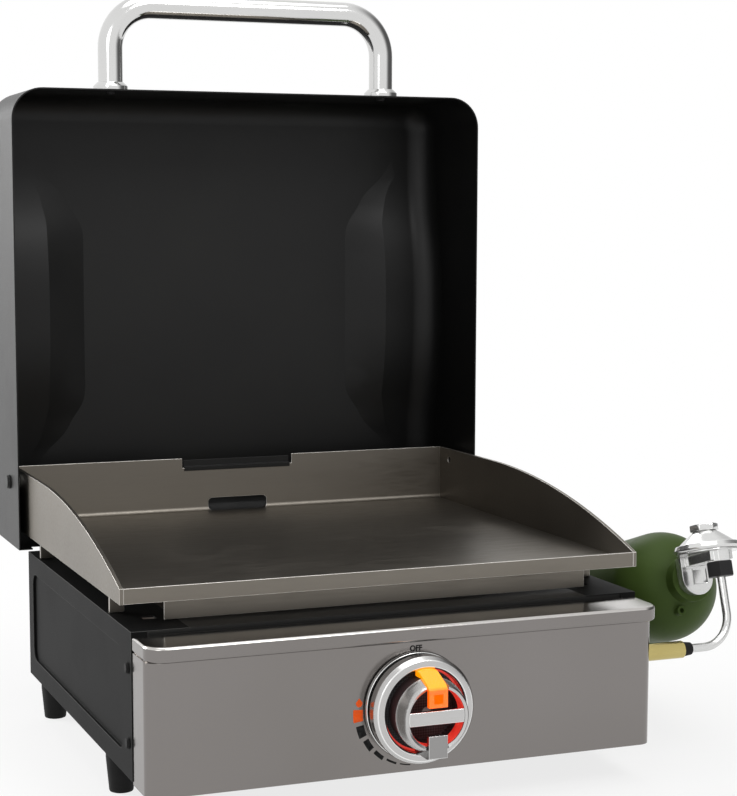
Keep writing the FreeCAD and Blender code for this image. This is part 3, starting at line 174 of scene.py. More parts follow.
def makeGrainGroup():
    tree, source, sink = newGroup(
        "surfaceGrain",
        [
            ("Vector", "NodeSocketVector", None),
            ("Fine", "NodeSocketFloat", 900.0),
            ("Broad", "NodeSocketFloat", 9.0),
        ],
        [("Fine", "NodeSocketFloat"), ("Broad", "NodeSocketFloat")],
    )
    vector = source.outputs["Vector"]
    roughness = noiseSetup["roughness"]
    fine = noise(tree, vector, source.outputs["Fine"], noiseSetup["fineDetail"], roughness)
    broad = noise(tree, vector, source.outputs["Broad"], noiseSetup["broadDetail"], roughness)
    tree.links.new(fine, sink.inputs["Fine"])
    tree.links.new(spread(tree, broad, 0.0, 1.0, *noiseSetup["span"]), sink.inputs["Broad"])
    return tree


def makeSmudgeGroup():
    tree, source, sink = newGroup(
        "handlingMarks",
        [
            ("Vector", "NodeSocketVector", None),
            ("Scale", "NodeSocketFloat", 14.0),
            ("Amount", "NodeSocketFloat", 0.5),
        ],
        [("Mask", "NodeSocketFloat")],
    )
    vector = source.outputs["Vector"]
    wide = noise(tree, vector, source.outputs["Scale"], smudgeSetup["detail"], smudgeSetup["roughness"])
    patches = spread(tree, wide, 0.0, 1.0, *smudgeSetup["span"])
    mask = mathNode(tree, "MULTIPLY", patches, source.outputs["Amount"], True)
    tree.links.new(mask, sink.inputs["Mask"])
    return tree


grainGroup = makeGrainGroup()
smudgeGroup = makeSmudgeGroup()


def useGroup(tree, group, **values):
    made = addNode(tree, "ShaderNodeGroup", node_tree=group)
    for key, value in values.items():
        feed(tree, made.inputs[key], value)
    return made


def useGrain(tree, vector, fine, broad):
    return useGroup(tree, grainGroup, Vector=vector, Fine=float(fine), Broad=float(broad))


def grainSpread(tree, grain, low, high):
    return spread(tree, grain.outputs["Fine"], low, high, *noiseSetup["span"])


# One entry per finish: its two tones, the lighter tones painted on its outer rounded edges as a highlight, its
# sheen, then its grain and marks
finishes = {
    "black_enamel": {
        "tones": ("0b0b0b", "121211"), "edge": ("1c1c1c", "252525"), "rough": (0.36, 0.46), "gloss": 0.26,
        "fine": 1500, "broad": 7, "bump": 0.07, "smudge": (12, 0.35),
    },
    "side_enamel": {
        "tones": ("0a0a0a", "111111"), "edge": ("3c3c3b", "4a4a49"), "rough": (0.5, 0.6), "gloss": 0.06,
        "fine": 1300, "broad": 6, "bump": 0.06, "smudge": (10, 0.3),
    },
    "stainless": {
        "tones": ("7f7b78", "868280"), "edge": ("e8e6e4", "f2f1f0"), "rough": (0.15, 0.19), "metal": 1.0,
        "fine": 160, "broad": 4, "bump": 0.002, "smudge": (9, 0.4),
    },
    # Lighter stainless for the front panel's upward faces: a painted reflection
    "lip_painted_reflection": {
        "tones": ("bdbab7", "c6c3c0"), "rough": (0.12, 0.17), "metal": 1.0,
        "fine": 500, "broad": 4, "bump": 0.003, "smudge": (9, 0.3),
    },
    "griddle_steel": {
        "tones": ("6f6a63", "7c776f"), "edge": ("bfbbb5", "cfccc7"), "rough": (0.36, 0.46), "metal": 1.0,
        "fine": 420, "broad": 8, "bump": 0.012, "stretch": (10, 1, 1), "smudge": (16, 0.4),
    },
    "bright_chrome": {
        "tones": ("d2d2d1", "dadad9"), "rough": (0.1, 0.13), "metal": 1.0,
        "fine": 160, "broad": 10, "bump": 0.0004, "smudge": (30, 0.15),
    },
    "plated_steel": {
        "tones": ("d6d6d5", "dededd"), "rough": (0.09, 0.14), "metal": 0.82,
        "fine": 160, "broad": 12, "bump": 0.002, "smudge": (30, 0.3),
    },
    "grip_metal": {
        "tones": ("8f8e8d", "989796"), "edge": ("dcdcdb", "e6e6e5"), "rough": (0.2, 0.26), "metal": 1.0,
        "fine": 160, "broad": 12, "bump": 0.002, "smudge": (30, 0.3),
    },
    "zinc_steel": {
        "tones": ("8e8e8c", "a09f9b"), "rough": (0.3, 0.45), "metal": 1.0,
        "fine": 500, "broad": 60, "bump": 0.02, "smudge": (40, 0.5),
    },
    "burner_steel": {
        "tones": ("6d6a66", "574c46"), "rough": (0.4, 0.6), "metal": 1.0,
        "fine": 500, "broad": 22, "bump": 0.05, "smudge": (18, 0.8),
    },
    "yellow_brass": {
        "tones": ("b7a86c", "c2b479"), "rough": (0.14, 0.19), "metal": 1.0,
        "fine": 160, "broad": 14, "bump": 0.002, "smudge": (50, 0.5),
    },
    "satin_aluminium": {
        "tones": ("bcbbba", "c5c4c3"), "edge": ("e4e4e3", "efefee"), "rough": (0.2, 0.25), "metal": 1.0,
        "fine": 160, "broad": 12, "bump": 0.002, "smudge": (30, 0.4),
    },
    "black_plastic": {
        "tones": ("101011", "18181a"), "rough": (0.42, 0.58), "gloss": 0.3,
        "fine": 1600, "broad": 30, "bump": 0.14, "smudge": (30, 0.4),
    },
    "knob_weave": {
        "tones": ("343435", "3e3e40"), "weft": "151516", "rough": (0.4, 0.5), "gloss": 0.3,
        "fine": 900, "broad": 30, "bump": 0.02, "weave": 700, "smudge": (30, 0.3),
    },
    "porcelain": {
        "tones": ("e4dfd4", "d8d2c4"), "rough": (0.12, 0.2),
        "fine": 500, "broad": 50, "bump": 0.01, "smudge": (60, 0.5),
    },
    "black_rubber": {
        "tones": ("0d0d0d", "151515"), "rough": (0.62, 0.8), "gloss": 0.25,
        "fine": 1500, "broad": 40, "bump": 0.16, "smudge": (40, 0.6),
    },
    "green_paint": {
        "tones": ("3d4f22", "46592a"), "rough": (0.4, 0.48), "gloss": 0.12,
        "fine": 900, "broad": 16, "bump": 0.02, "smudge": (20, 0.4),
    },
}
bumpDepth = 0.0004
weaveTurn = math.radians(45)


def makeFinish(name, spec):
    material, tree, shader = newMaterial(name)
    vector = objectPlace(tree, stretch=spec.get("stretch", (1, 1, 1)))
    grain = useGrain(tree, vector, spec["fine"], spec["broad"])
    scale, amount = spec["smudge"]
    marks = useGroup(tree, smudgeGroup, Vector=objectPlace(tree), Scale=float(scale), Amount=float(amount))
    tone = mixColour(tree, grain.outputs["Broad"], srgb(spec["tones"][0]), srgb(spec["tones"][1]))
    if "weave" in spec:
        check = addNode(tree, "ShaderNodeTexChecker")
        feed(tree, check.inputs["Vector"], objectPlace(tree, turn=(0, weaveTurn, 0)))
        feed(tree, check.inputs["Scale"], float(spec["weave"]))
        tone = mixColour(tree, check.outputs["Fac"], tone, srgb(spec["weft"]))
    feed(tree, shader.inputs["Base Color"], tone)
    low, high = spec["rough"]
    rough = grainSpread(tree, grain, low, high)
    marked = mathNode(tree, "MULTIPLY", marks.outputs["Mask"], high - low)
    feed(tree, shader.inputs["Roughness"], mathNode(tree, "ADD", rough, marked))
    shader.inputs["Metallic"].default_value = spec.get("metal", 0.0)
    shader.inputs["Specular IOR Level"].default_value = spec.get("gloss", 0.5)
    bump = addNode(tree, "ShaderNodeBump")
    bump.inputs["Strength"].default_value = spec["bump"]
    bump.inputs["Distance"].default_value = bumpDepth
    tree.links.new(grain.outputs["Fine"], bump.inputs["Height"])
    tree.links.new(bump.outputs["Normal"], shader.inputs["Normal"])
    return material


finishOf = {}
edgeHighlightFinishOf = {}
# Finishes with edge tones get a second, lighter material for their outer rounded edges: a painted highlight
for label, finishSpec in finishes.items():
    finishOf[label] = makeFinish(label, finishSpec)
    if "edge" in finishSpec:
        edgeHighlightSpec = {**finishSpec, "tones": finishSpec["edge"]}
        edgeHighlightFinishOf[label] = makeFinish(label + "EdgeHighlight", edgeHighlightSpec)

# The lens glows: deep orange in front, yellow where it slopes back to the ring
lensLook = {
    "front": "f25c02",
    "slope": "ff9a00",
    "slopeHeights": (knobHeight + 0.0208, knobHeight + 0.0236),
    "strength": 0.85,
    "grain": (1200, 160),
    "cloud": 0.15,
    "rough": (0.18, 0.3),
    "coat": 0.4,
}


def makeLensFinish():
    material, tree, shader = newMaterial("amber_lens")
    split = addNode(tree, "ShaderNodeSeparateXYZ")
    tree.links.new(objectPlace(tree), split.inputs["Vector"])
    rise = spread(tree, split.outputs["Z"], 0.0, 1.0, *lensLook["slopeHeights"])
    grain = useGrain(tree, objectPlace(tree), *lensLook["grain"])
    cloud = mathNode(tree, "MULTIPLY", grain.outputs["Broad"], lensLook["cloud"])
    factor = mathNode(tree, "ADD", rise, cloud, True)
    tone = mixColour(tree, factor, srgb(lensLook["front"]), srgb(lensLook["slope"]))
    feed(tree, shader.inputs["Base Color"], tone)
    feed(tree, shader.inputs["Emission Color"], tone)
    shader.inputs["Emission Strength"].default_value = lensLook["strength"]
    feed(tree, shader.inputs["Roughness"], grainSpread(tree, grain, *lensLook["rough"]))
    shader.inputs["Coat Weight"].default_value = lensLook["coat"]
    return material


finishOf["amber_lens"] = makeLensFinish()


# Printed ink, a little faded in patches
inkLook = {"fade": 0.8, "lift": 0.02, "grain": (2500, 400), "rough": (0.4, 0.6), "gloss": 0.1}


def makeInk(name, code):
    material, tree, shader = newMaterial(name)
    grain = useGrain(tree, objectPlace(tree), *inkLook["grain"])
    base = srgb(code)
    faded = tuple(channel * inkLook["fade"] + inkLook["lift"] for channel in base[:3]) + (1.0,)
    feed(tree, shader.inputs["Base Color"], mixColour(tree, grain.outputs["Broad"], base, faded))
    feed(tree, shader.inputs["Roughness"], grainSpread(tree, grain, *inkLook["rough"]))
    shader.inputs["Specular IOR Level"].default_value = inkLook["gloss"]
    return material


blackInk = makeInk("blackInk", "0c0c0c")
orangeInk = makeInk("orangeInk", "f05a12")


# Glowing trim
glowLook = {"grain": (900, 120), "rough": (0.25, 0.4)}


def makeGlow(name, dimTone, brightTone, strength):
    material, tree, shader = newMaterial(name)
    grain = useGrain(tree, objectPlace(tree), *glowLook["grain"])
    tone = mixColour(tree, grain.outputs["Broad"], srgb(dimTone), srgb(brightTone))
    feed(tree, shader.inputs["Base Color"], tone)
    feed(tree, shader.inputs["Emission Color"], tone)
    shader.inputs["Emission Strength"].default_value = strength
    feed(tree, shader.inputs["Roughness"], grainSpread(tree, grain, *glowLook["rough"]))
    return material


emberGlow = makeGlow("emberGlow", "b4221a", "d83c2e", 0.8)
windowGlow = makeGlow("windowGlow", "fb8212", "ff9420", 0.6)
print("finishes made:", len(finishOf))

# Nodes whose finish isn't simply their slot's
ownFinish = {
    "left_side_panel": "side_enamel",
    "right_side_panel": "side_enamel",
    "side_screws": "black_rubber",
    "handle_screws": "black_rubber",
    "hood_pivot_left": "black_enamel",
    "hood_pivot_right": "black_enamel",
    "knob_core": "knob_weave",
    "knob_tail": "grip_metal",
    "regulator_body": "plated_steel",
    "regulator_cover": "plated_steel",
    "gas_tube": "plated_steel",
}


def finishName(name):
    return ownFinish.get(name, slotOf[name])


def finishFor(name):
    return finishOf[finishName(name)]


for name, node in nodes.items():
    node.data.materials.clear()
    node.data.materials.append(finishFor(name))


# Piece making
def placePiece(bm, name, material, body, replaced=(), smooth=35, creases=()):
    mesh = bpy.data.meshes.new(name)
    bm.to_mesh(mesh)
    bm.free()
    if smooth:
        mesh.shade_smooth()
        mesh.set_sharp_from_angle(angle=math.radians(smooth))
    for index in creases:
        mesh.edges[index].use_edge_sharp = True
    mesh.materials.append(material)
    piece = bpy.data.objects.new(name, mesh)
    scene.collection.objects.link(piece)
    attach(piece, body)
    if replaced:
        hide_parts(*replaced)
    return piece


# How carried shapes are copied and rounded: lengths in metres, angles in degrees
copySetup = {
    "mergeGap": 2e-6,
    "flat": 0.05,
    "fold": 35,
    "sharp": 50,
    "softSteps": 2,
    "plateSteps": 3,
    "bigFaceWeight": 80,
}


def weighNormals(piece):
    modifier = piece.modifiers.new("evenShading", "WEIGHTED_NORMAL")
    modifier.keep_sharp = True
    modifier.weight = copySetup["bigFaceWeight"]


def mergedCopy(name):
    bm = bmesh.new()
    bm.from_mesh(nodes[name].data)
    bmesh.ops.remove_doubles(bm, verts=bm.verts, dist=copySetup["mergeGap"])
    flat = math.radians(copySetup["flat"])
    bmesh.ops.dissolve_limit(bm, angle_limit=flat, verts=bm.verts, edges=bm.edges)
    return bm


def foldedEdges(bm):
    limit = math.radians(copySetup["fold"])
    return [edge for edge in bm.edges if len(edge.link_faces) == 2 and edge.calc_face_angle() > limit]


def roundEdges(bm, edges, width, steps):
    made = bmesh.ops.bevel(bm, geom=edges, offset=width, offset_type="OFFSET", segments=steps, profile=0.5,
                           affect="EDGES", clamp_overlap=True, material=-1)
    return made["faces"]


def turnPiece(bm, angle, axis):
    bmesh.ops.rotate(bm, verts=bm.verts, cent=(0, 0, 0), matrix=Matrix.Rotation(angle, 3, axis))


def raiseInk(bm, height):
    grown = bmesh.ops.extrude_face_region(bm, geom=bm.faces[:])
    raised = [item for item in grown["geom"] if isinstance(item, bmesh.types.BMVert)]
    bmesh.ops.translate(bm, verts=raised, vec=(0, -height, 0))
    bmesh.ops.recalc_face_normals(bm, faces=bm.faces)


# Only outer edges get the lighter tone of the painted edge highlight, not the folds inside a corner
def outwardFaces(faces):
    def turn(face):
        return sum(edge.calc_face_angle_signed(0.0) for edge in face.edges)

    return [face for face in faces if turn(face) > 0]


# Faces that look up get a lighter tone than the rest of their piece: a painted reflection
paintedReflectionTops = {"front_panel": {"finish": "lip_painted_reflection", "rise": 0.3}}
# The hood's pressed creases stay crisp: between a face with no sideways lean and one that leans
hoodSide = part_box("hood_shell")[1].x
pressedCreases = {"upright": 0.5, "lean": 0.004, "reach": hoodSide - 0.0254}
# The knob's lens and tail are slimmer than their slots
slimPieces = {"knob_lens": 0.84, "knob_tail": 0.84}
# The front panel's left end wraps out to the side panel, below the lip more than at it
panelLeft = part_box("front_panel")[0].x
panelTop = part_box("front_panel")[1].z
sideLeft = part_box("left_side_panel")[0].x
leftWrap = {
    "from": panelLeft + 0.0183,
    "edge": panelLeft + 0.0033,
    "lipFoot": panelTop - 0.01185,
    "panelOut": 0.0044,
    "lipOut": 0.0013,
    "limit": sideLeft + 0.0008,
}


def wrapLeftEnd(bm, spec):
    for vert in bm.verts:
        reach = (spec["from"] - vert.co.x) / (spec["from"] - spec["edge"])
        share = min(max(reach, 0.0), 1.0)
        if vert.co.z > spec["lipFoot"]:
            vert.co.x -= spec["lipOut"] * share
        elif share > 0:
            vert.co.x = max(vert.co.x - spec["panelOut"] * share, spec["limit"])


def creaseEdges(bm, spec):
    bm.normal_update()
    bm.edges.index_update()
    found = []
    for edge in bm.edges:
        normals = [face.normal for face in edge.link_faces]
        if len(normals) != 2 or min(abs(normal.y) for normal in normals) < spec["upright"]:
            continue
        leans = [abs(normal.x) > spec["lean"] for normal in normals]
        middle = (edge.verts[0].co + edge.verts[1].co) / 2
        if leans[0] != leans[1] and abs(middle.x) < spec["reach"]:
            found.append(edge.index)
    return found


def softPiece(name, width):
    bm = mergedCopy(name)
    if name == "front_panel":
        wrapLeftEnd(bm, leftWrap)
    if name in slimPieces:
        bmesh.ops.scale(bm, verts=bm.verts, vec=(slimPieces[name], 1, 1))
    rounded = roundEdges(bm, foldedEdges(bm), width, copySetup["softSteps"])
    # Rounded outer edges take the lighter edge tone, a painted highlight
    extras = [edgeHighlightFinishOf.get(finishName(name), finishFor(name))]
    for face in outwardFaces(rounded):
        face.material_index = 1
    # Upward faces take the lighter stainless: a painted reflection
    top = paintedReflectionTops.get(name)
    if top:
        extras.append(finishOf[top["finish"]])
        bm.normal_update()
        for face in bm.faces:
            if face.normal.z > top["rise"]:
                face.material_index = 2
    creases = creaseEdges(bm, pressedCreases) if name == "hood_shell" else ()
    made = placePiece(bm, name + "Soft", finishFor(name), bodyOf[name], (name,),
                      copySetup["sharp"], creases)
    for extra in extras:
        made.data.materials.append(extra)
    weighNormals(made)


# Edge softening for each carried shape, in metres
softWidths = {
    "hood_shell": 0.0004,
    "griddle_tray": 0.0006,
    "griddle_left_wall": 0.0007,
    "griddle_right_wall": 0.0007,
    "griddle_front_legs": 0.0005,
    "griddle_rear_legs": 0.0005,
    "wind_guard": 0.0004,
    "grease_cup": 0.0003,
    "left_side_panel": 0.0004,
    "right_side_panel": 0.0004,
    "front_panel": 0.0003,
    "fire_wall": 0.0004,
    "rear_panel": 0.0004,
    "hood_handle": 0.0004,
    "handle_bezels": 0.0006,
    "knob_base_ring": 0.0004,
    "knob_outer_ring": 0.0006,
    "knob_nose_ring": 0.0006,
    "knob_crossbar": 0.0006,
    "knob_core": 0.0005,
    "knob_lens": 0.0012,
    "knob_tail": 0.0010,
    "inlet_fitting": 0.0006,
    "tube_seal": 0.0006,
    "outlet_nut": 0.0007,
    "regulator_body": 0.0007,
    "regulator_cover": 0.0006,
    "gas_bottle": 0.0006,
    "relief_valve": 0.0004,
    "gas_tube": 0.0003,
    "foot_front_left": 0.0012,
    "foot_front_right": 0.0012,
    "foot_rear_left": 0.0012,
    "foot_rear_right": 0.0012,
    "side_screws": 0.0004,
    "foot_screws": 0.0004,
    "hood_pivot_left": 0.0004,
    "hood_pivot_right": 0.0004,
    "hood_spacer_left": 0.0004,
    "hood_spacer_right": 0.0004,
    "burner": 0.0004,
    "burner_brackets": 0.0004,
}
for name, width in softWidths.items():
    softPiece(name, width)
print("softened shapes:", len(softWidths))

# Dial marks printed on the front panel, about the knob
inkHeight = 0.00012
dial = {
    "centre": (knobAcross - 0.0012, panelFace, knobHeight - 0.0025),
    "inner": 0.0424,
    "thickness": (0.0077, 0.0063, 0.0047, 0.0032, 0.0016, 0.0009),
    "first": 181.4,
    "step": 15.6,
    "sweep": 11.5,
    "spinSteps": 12,
}


def dialMark(index, thickness):
    middle = math.radians(dial["first"] + dial["step"] * index)
    half = math.radians(dial["sweep"] / 2)
    centre = Vector(dial["centre"])
    bm = bmesh.new()
    spoke = Vector((math.cos(middle - half), 0, math.sin(middle - half)))
    near = bm.verts.new(centre + spoke * dial["inner"])
    far = bm.verts.new(centre + spoke * (dial["inner"] + thickness))
    edge = bm.edges.new((near, far))
    bmesh.ops.spin(bm, geom=[near, far, edge], cent=centre, axis=(0, -1, 0), angle=2 * half,
                   steps=dial["spinSteps"])
    bmesh.ops.recalc_face_normals(bm, faces=bm.faces)
    if bm.faces[:][0].normal.y > 0:
        bmesh.ops.reverse_faces(bm, faces=bm.faces)
    raiseInk(bm, inkHeight)
    ink = orangeInk if index == 0 else blackInk
    placePiece(bm, f"dialMark.{index}", ink, "base")


for index, thickness in enumerate(dial["thickness"]):
    dialMark(index, thickness)

offWord = {
    "text": "OFF",
    "centre": (knobAcross - 0.0006, panelFace, knobHeight + 0.0442),
    "height": 0.0046,
    "width": 0.010,
    "bold": 0.035,
    "extrude": 0.02,
    "mergeGap": 1e-5,
}


def printWord(spec):
    curve = bpy.data.curves.new("offWord", "FONT")
    curve.body = spec["text"]
    curve.align_x = "CENTER"
    curve.align_y = "CENTER"
    curve.extrude = spec["extrude"]
    curve.offset = spec["bold"]
    holder = bpy.data.objects.new("offWordCurve", curve)
    scene.collection.objects.link(holder)
    bpy.context.view_layer.update()
    depsgraph = bpy.context.evaluated_depsgraph_get()
    mesh = bpy.data.meshes.new_from_object(holder.evaluated_get(depsgraph))
    bpy.data.objects.remove(holder)
    bm = bmesh.new()
    bm.from_mesh(mesh)
    bmesh.ops.remove_doubles(bm, verts=bm.verts, dist=spec["mergeGap"])
    low = Vector([min(v.co[i] for v in bm.verts) for i in range(3)])
    high = Vector([max(v.co[i] for v in bm.verts) for i in range(3)])
    size = high - low
    bmesh.ops.translate(bm, verts=bm.verts, vec=-(low + high) / 2)
    bmesh.ops.scale(bm, verts=bm.verts,
                    vec=(spec["width"] / size.x, spec["height"] / size.y, inkHeight / size.z))
    turnPiece(bm, math.radians(90), "X")
    seat = Vector(spec["centre"]) - Vector((0, inkHeight / 2, 0))
    bmesh.ops.translate(bm, verts=bm.verts, vec=seat)
    placePiece(bm, "offWord", blackInk, "base", (), 0)


printWord(offWord)
print("dial printed")

# Flame mark at the dial's hot end
flameMark = {
    "place": (knobAcross - 0.0465, panelFace, knobHeight + 0.0063),
    "size": (0.0027, 0.0034),
    "pinch": 0.85,
    "sides": 28,
}


def printFlame(spec):
    bm = bmesh.new()
    bmesh.ops.create_circle(bm, cap_ends=True, segments=spec["sides"], radius=1.0)
    for vert in bm.verts:
        if vert.co.y > 0:
            vert.co.x *= 1.0 - spec["pinch"] * vert.co.y
    wide, tall = spec["size"]
    bmesh.ops.scale(bm, verts=bm.verts, vec=(wide, tall, 1.0))
    turnPiece(bm, math.radians(90), "X")
    bmesh.ops.translate(bm, verts=bm.verts, vec=spec["place"])
    raiseInk(bm, inkHeight)
    placePiece(bm, "flameMark", orangeInk, "base", (), 0)


printFlame(flameMark)

# Light rings: one between the knob's core and its big ring, one inside its nose ring
knobLights = {
    "knobLight": {"radii": (0.0306, 0.0323), "depths": (0.01055, 0.0113)},
    "noseLight": {"radii": (0.0221, 0.02245), "depths": (0.0262, 0.0365)},
}
lightRing = {"steps": 72, "mergeGap": 1e-6}


def knobLight(name, spec):
    bm = bmesh.new()
    centre = Vector(knobCentre)
    near, far = spec["radii"]
    back, front = spec["depths"]
    corners = []
    for radius, depth in ((near, back), (far, back), (far, front), (near, front)):
        corners.append(bm.verts.new(centre + Vector((radius, -depth, 0))))
    sides = [bm.edges.new((corners[i], corners[i - 1])) for i in range(4)]
    bmesh.ops.spin(bm, geom=corners + sides, cent=centre, axis=(0, 1, 0), angle=2 * math.pi,
                   steps=lightRing["steps"], use_merge=True)
    bmesh.ops.remove_doubles(bm, verts=bm.verts, dist=lightRing["mergeGap"])
    bmesh.ops.recalc_face_normals(bm, faces=bm.faces)
    placePiece(bm, name, emberGlow, "knob")


for lightName, lightSpec in knobLights.items():
    knobLight(lightName, lightSpec)

# Small plate let into the lens's front
lensWindow = {
    "place": (knobAcross, panelFace - 0.0398, knobHeight + 0.0146),
    "size": (0.0084, 0.0014, 0.0082),
    "round": 0.0005,
}


def raisedPlate(name, spec, material, body, turn=0.0):
    bm = bmesh.new()
    bmesh.ops.create_cube(bm, size=1.0)
    bmesh.ops.scale(bm, verts=bm.verts, vec=spec["size"])
    if "sink" in spec:
        front = min(bm.faces, key=lambda face: face.calc_center_median().y)
        bmesh.ops.inset_region(bm, faces=[front], thickness=spec["frame"])
        bmesh.ops.translate(bm, verts=front.verts, vec=(0, spec["sink"], 0))
    roundEdges(bm, foldedEdges(bm), spec["round"], copySetup["plateSteps"])
    turnPiece(bm, turn, "X")
    bmesh.ops.translate(bm, verts=bm.verts, vec=spec["place"])
    placePiece(bm, name, material, body)


raisedPlate("lensWindow", lensWindow, windowGlow, "knob")
print("knob lit")

# Gas line details, placed from where the bottle turns: ahead along its leaning axis, then up from it
bottleTurn = jointOf["bottle_turn"]
gasLean = {"middle": bottleTurn["pos_m"], "tilt": math.atan2(bottleTurn["axis"][2], -bottleTurn["axis"][1])}


def alongGas(ahead, up, aside=0.0):
    tilt = gasLean["tilt"]
    behind = up * math.sin(tilt) - ahead * math.cos(tilt)
    above = up * math.cos(tilt) + ahead * math.sin(tilt)
    return Vector(gasLean["middle"]) + Vector((aside, behind, above))


hexCap = {
    "ahead": 0.0805,
    "up": 0.036,
    "radius": 0.012,
    "height": 0.0058,
    "turn": 8.0,
    "round": 0.0009,
    "sharp": 40,
}


def makeHexCap(spec):
    bm = bmesh.new()
    bmesh.ops.create_cone(bm, cap_ends=True, segments=6, radius1=spec["radius"], radius2=spec["radius"],
                          depth=spec["height"])
    turnPiece(bm, math.radians(spec["turn"]), "Z")
    roundEdges(bm, bm.edges[:], spec["round"], copySetup["plateSteps"])
    turnPiece(bm, -gasLean["tilt"], "X")
    middle = alongGas(spec["ahead"], spec["up"] + spec["height"] / 2)
    bmesh.ops.translate(bm, verts=bm.verts, vec=middle)
    placePiece(bm, "hexCap", finishOf["plated_steel"], "base", ("regulator_cap",),
               spec["sharp"])


makeHexCap(hexCap)
# Shallow frame on the regulator's block
bossFrame = {
    "place": alongGas(0.0606, 0.0008, 0.0018),
    "size": (0.0138, 0.0014, 0.0137),
    "frame": 0.0014,
    "round": 0.0004,
    "sink": 0.0006,
}
raisedPlate("bossFrame", bossFrame, finishOf["plated_steel"], "base", -gasLean["tilt"])
print("gas line detailed")

# Studio: a pale floor, a room darker on one side, and soft lamps as place, size and power
studio = {
    "floorRadius": 7.0,
    "floorSides": 96,
    "floorTone": 0.93,
    "floorTint": (0.99, 0.99, 0.98),
    "floorGrain": (300, 2),
    "floorRough": 0.9,
    "aim": (0, 0, 0.25),
    "fade": (0.36, 0.85),
    "nearWhite": 0.8,
    "ambient": 0.42,
    "darkSide": (1.0, 0.0, 0.1),
    "darkTone": 0.3,
    "mirrorTone": 0.12,
    "darkReach": (0.5, 0.95),
    "lamps": {
        "backLeft": ((-1.9, 1.8, 1.0), 1.6, 60),
        "topSoft": ((0.0, -0.3, 2.8), 2.0, 16),
        "frontTop": ((0.5, -2.0, 2.2), 1.2, 24),
        "fillLeft": ((-2.0, -2.3, 1.4), 1.4, 8),
        "rimBack": ((0.6, 2.2, 1.9), 1.4, 10),
    },
}


def makeFloor():
    bm = bmesh.new()
    bmesh.ops.create_circle(bm, cap_ends=True, segments=studio["floorSides"],
                            radius=studio["floorRadius"])
    mesh = bpy.data.meshes.new("studioFloor")
    bm.to_mesh(mesh)
    bm.free()
    floor = bpy.data.objects.new("studioFloor", mesh)
    scene.collection.objects.link(floor)
    material, tree, shader = newMaterial("studioFloor")
    tone = studio["floorTone"]
    tinted = tuple(tone * tint for tint in studio["floorTint"]) + (1.0,)
    grain = useGrain(tree, objectPlace(tree), *studio["floorGrain"])
    pale = mixColour(tree, grain.outputs["Broad"], (tone, tone, tone, 1.0), tinted)
    feed(tree, shader.inputs["Base Color"], pale)
    shader.inputs["Roughness"].default_value = studio["floorRough"]
    shader.inputs["Specular IOR Level"].default_value = 0.0
    white = addNode(tree, "ShaderNodeEmission")
    white.inputs["Color"].default_value = (1, 1, 1, 1)
    path = addNode(tree, "ShaderNodeLightPath")
    seen = mathNode(tree, "MAXIMUM", path.outputs["Is Camera Ray"], path.outputs["Is Glossy Ray"])
    seen = mathNode(tree, "MAXIMUM", seen, path.outputs["Is Transmission Ray"])
    length = addNode(tree, "ShaderNodeVectorMath", operation="LENGTH")
    tree.links.new(objectPlace(tree), length.inputs[0])
    near, far = studio["fade"]
    away = addNode(tree, "ShaderNodeMapRange", interpolation_type="SMOOTHSTEP")
    tree.links.new(length.outputs["Value"], away.inputs["Value"])
    away.inputs["From Min"].default_value = near
    away.inputs["From Max"].default_value = far
    away.inputs["To Min"].default_value = studio["nearWhite"]
    blend = mathNode(tree, "MULTIPLY", seen, away.outputs["Result"])
    mixer = addNode(tree, "ShaderNodeMixShader")
    tree.links.new(blend, mixer.inputs[0])
    tree.links.new(shader.outputs[0], mixer.inputs[1])
    tree.links.new(white.outputs[0], mixer.inputs[2])
    tree.links.new(mixer.outputs[0], tree.nodes["Material Output"].inputs["Surface"])
    mesh.materials.append(material)


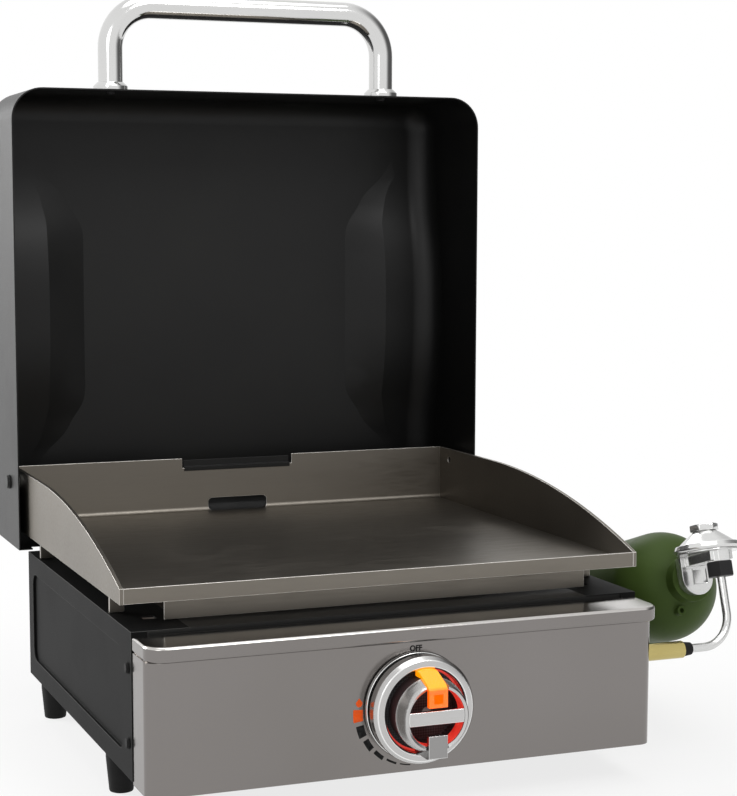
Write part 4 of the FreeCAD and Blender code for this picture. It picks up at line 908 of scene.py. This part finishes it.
def makeWorld():
    world = bpy.data.worlds.new("studioWorld")
    scene.world = world
    world.use_nodes = True
    tree = world.node_tree
    coords = addNode(tree, "ShaderNodeTexCoord")
    facing = addNode(tree, "ShaderNodeVectorMath", operation="DOT_PRODUCT")
    tree.links.new(coords.outputs["Generated"], facing.inputs[0])
    facing.inputs[1].default_value = Vector(studio["darkSide"]).normalized()

    def roomTone(darkest):
        dim = addNode(tree, "ShaderNodeMapRange", interpolation_type="SMOOTHSTEP")
        tree.links.new(facing.outputs["Value"], dim.inputs["Value"])
        dim.inputs["From Min"].default_value, dim.inputs["From Max"].default_value = studio["darkReach"]
        dim.inputs["To Min"].default_value = 1.0
        dim.inputs["To Max"].default_value = darkest
        return dim.outputs["Result"]

    plain = tree.nodes["Background"]
    tree.links.new(roomTone(studio["darkTone"]), plain.inputs["Color"])
    plain.inputs["Strength"].default_value = studio["ambient"]
    mirrored = addNode(tree, "ShaderNodeBackground")
    tree.links.new(roomTone(studio["mirrorTone"]), mirrored.inputs["Color"])
    shown = addNode(tree, "ShaderNodeBackground")
    shown.inputs["Color"].default_value = (1, 1, 1, 1)
    path = addNode(tree, "ShaderNodeLightPath")
    glossy = mathNode(tree, "MAXIMUM", path.outputs["Is Glossy Ray"], path.outputs["Is Transmission Ray"])
    first = addNode(tree, "ShaderNodeMixShader")
    tree.links.new(glossy, first.inputs[0])
    tree.links.new(plain.outputs[0], first.inputs[1])
    tree.links.new(mirrored.outputs[0], first.inputs[2])
    second = addNode(tree, "ShaderNodeMixShader")
    tree.links.new(path.outputs["Is Camera Ray"], second.inputs[0])
    tree.links.new(first.outputs[0], second.inputs[1])
    tree.links.new(shown.outputs[0], second.inputs[2])
    tree.links.new(second.outputs[0], tree.nodes["World Output"].inputs["Surface"])


def addLamp(name, place, size, power):
    data = bpy.data.lights.new(name, "AREA")
    data.shape = "DISK"
    data.size = size
    data.energy = power
    lamp = bpy.data.objects.new(name, data)
    lamp.location = place
    aim = Vector(studio["aim"]) - Vector(place)
    lamp.rotation_euler = aim.to_track_quat("-Z", "Y").to_euler()
    scene.collection.objects.link(lamp)


makeFloor()
makeWorld()
for lampName, (place, size, power) in studio["lamps"].items():
    addLamp(lampName, place, size, power)
# The lamps behind skip the handle, so its outline stays grey against the white
handleShade = {"lamps": ("backLeft", "rimBack"), "pieces": ("hood_handleSoft", "handle_bezelsSoft")}


def shadeHandle(spec):
    shaded = bpy.data.collections.new("handleShade")
    for name in spec["pieces"]:
        shaded.objects.link(bpy.data.objects[name])
    for held in shaded.collection_objects:
        held.light_linking.link_state = "EXCLUDE"
    for name in spec["lamps"]:
        bpy.data.objects[name].light_linking.receiver_collection = shaded


shadeHandle(handleShade)
print("studio lit")
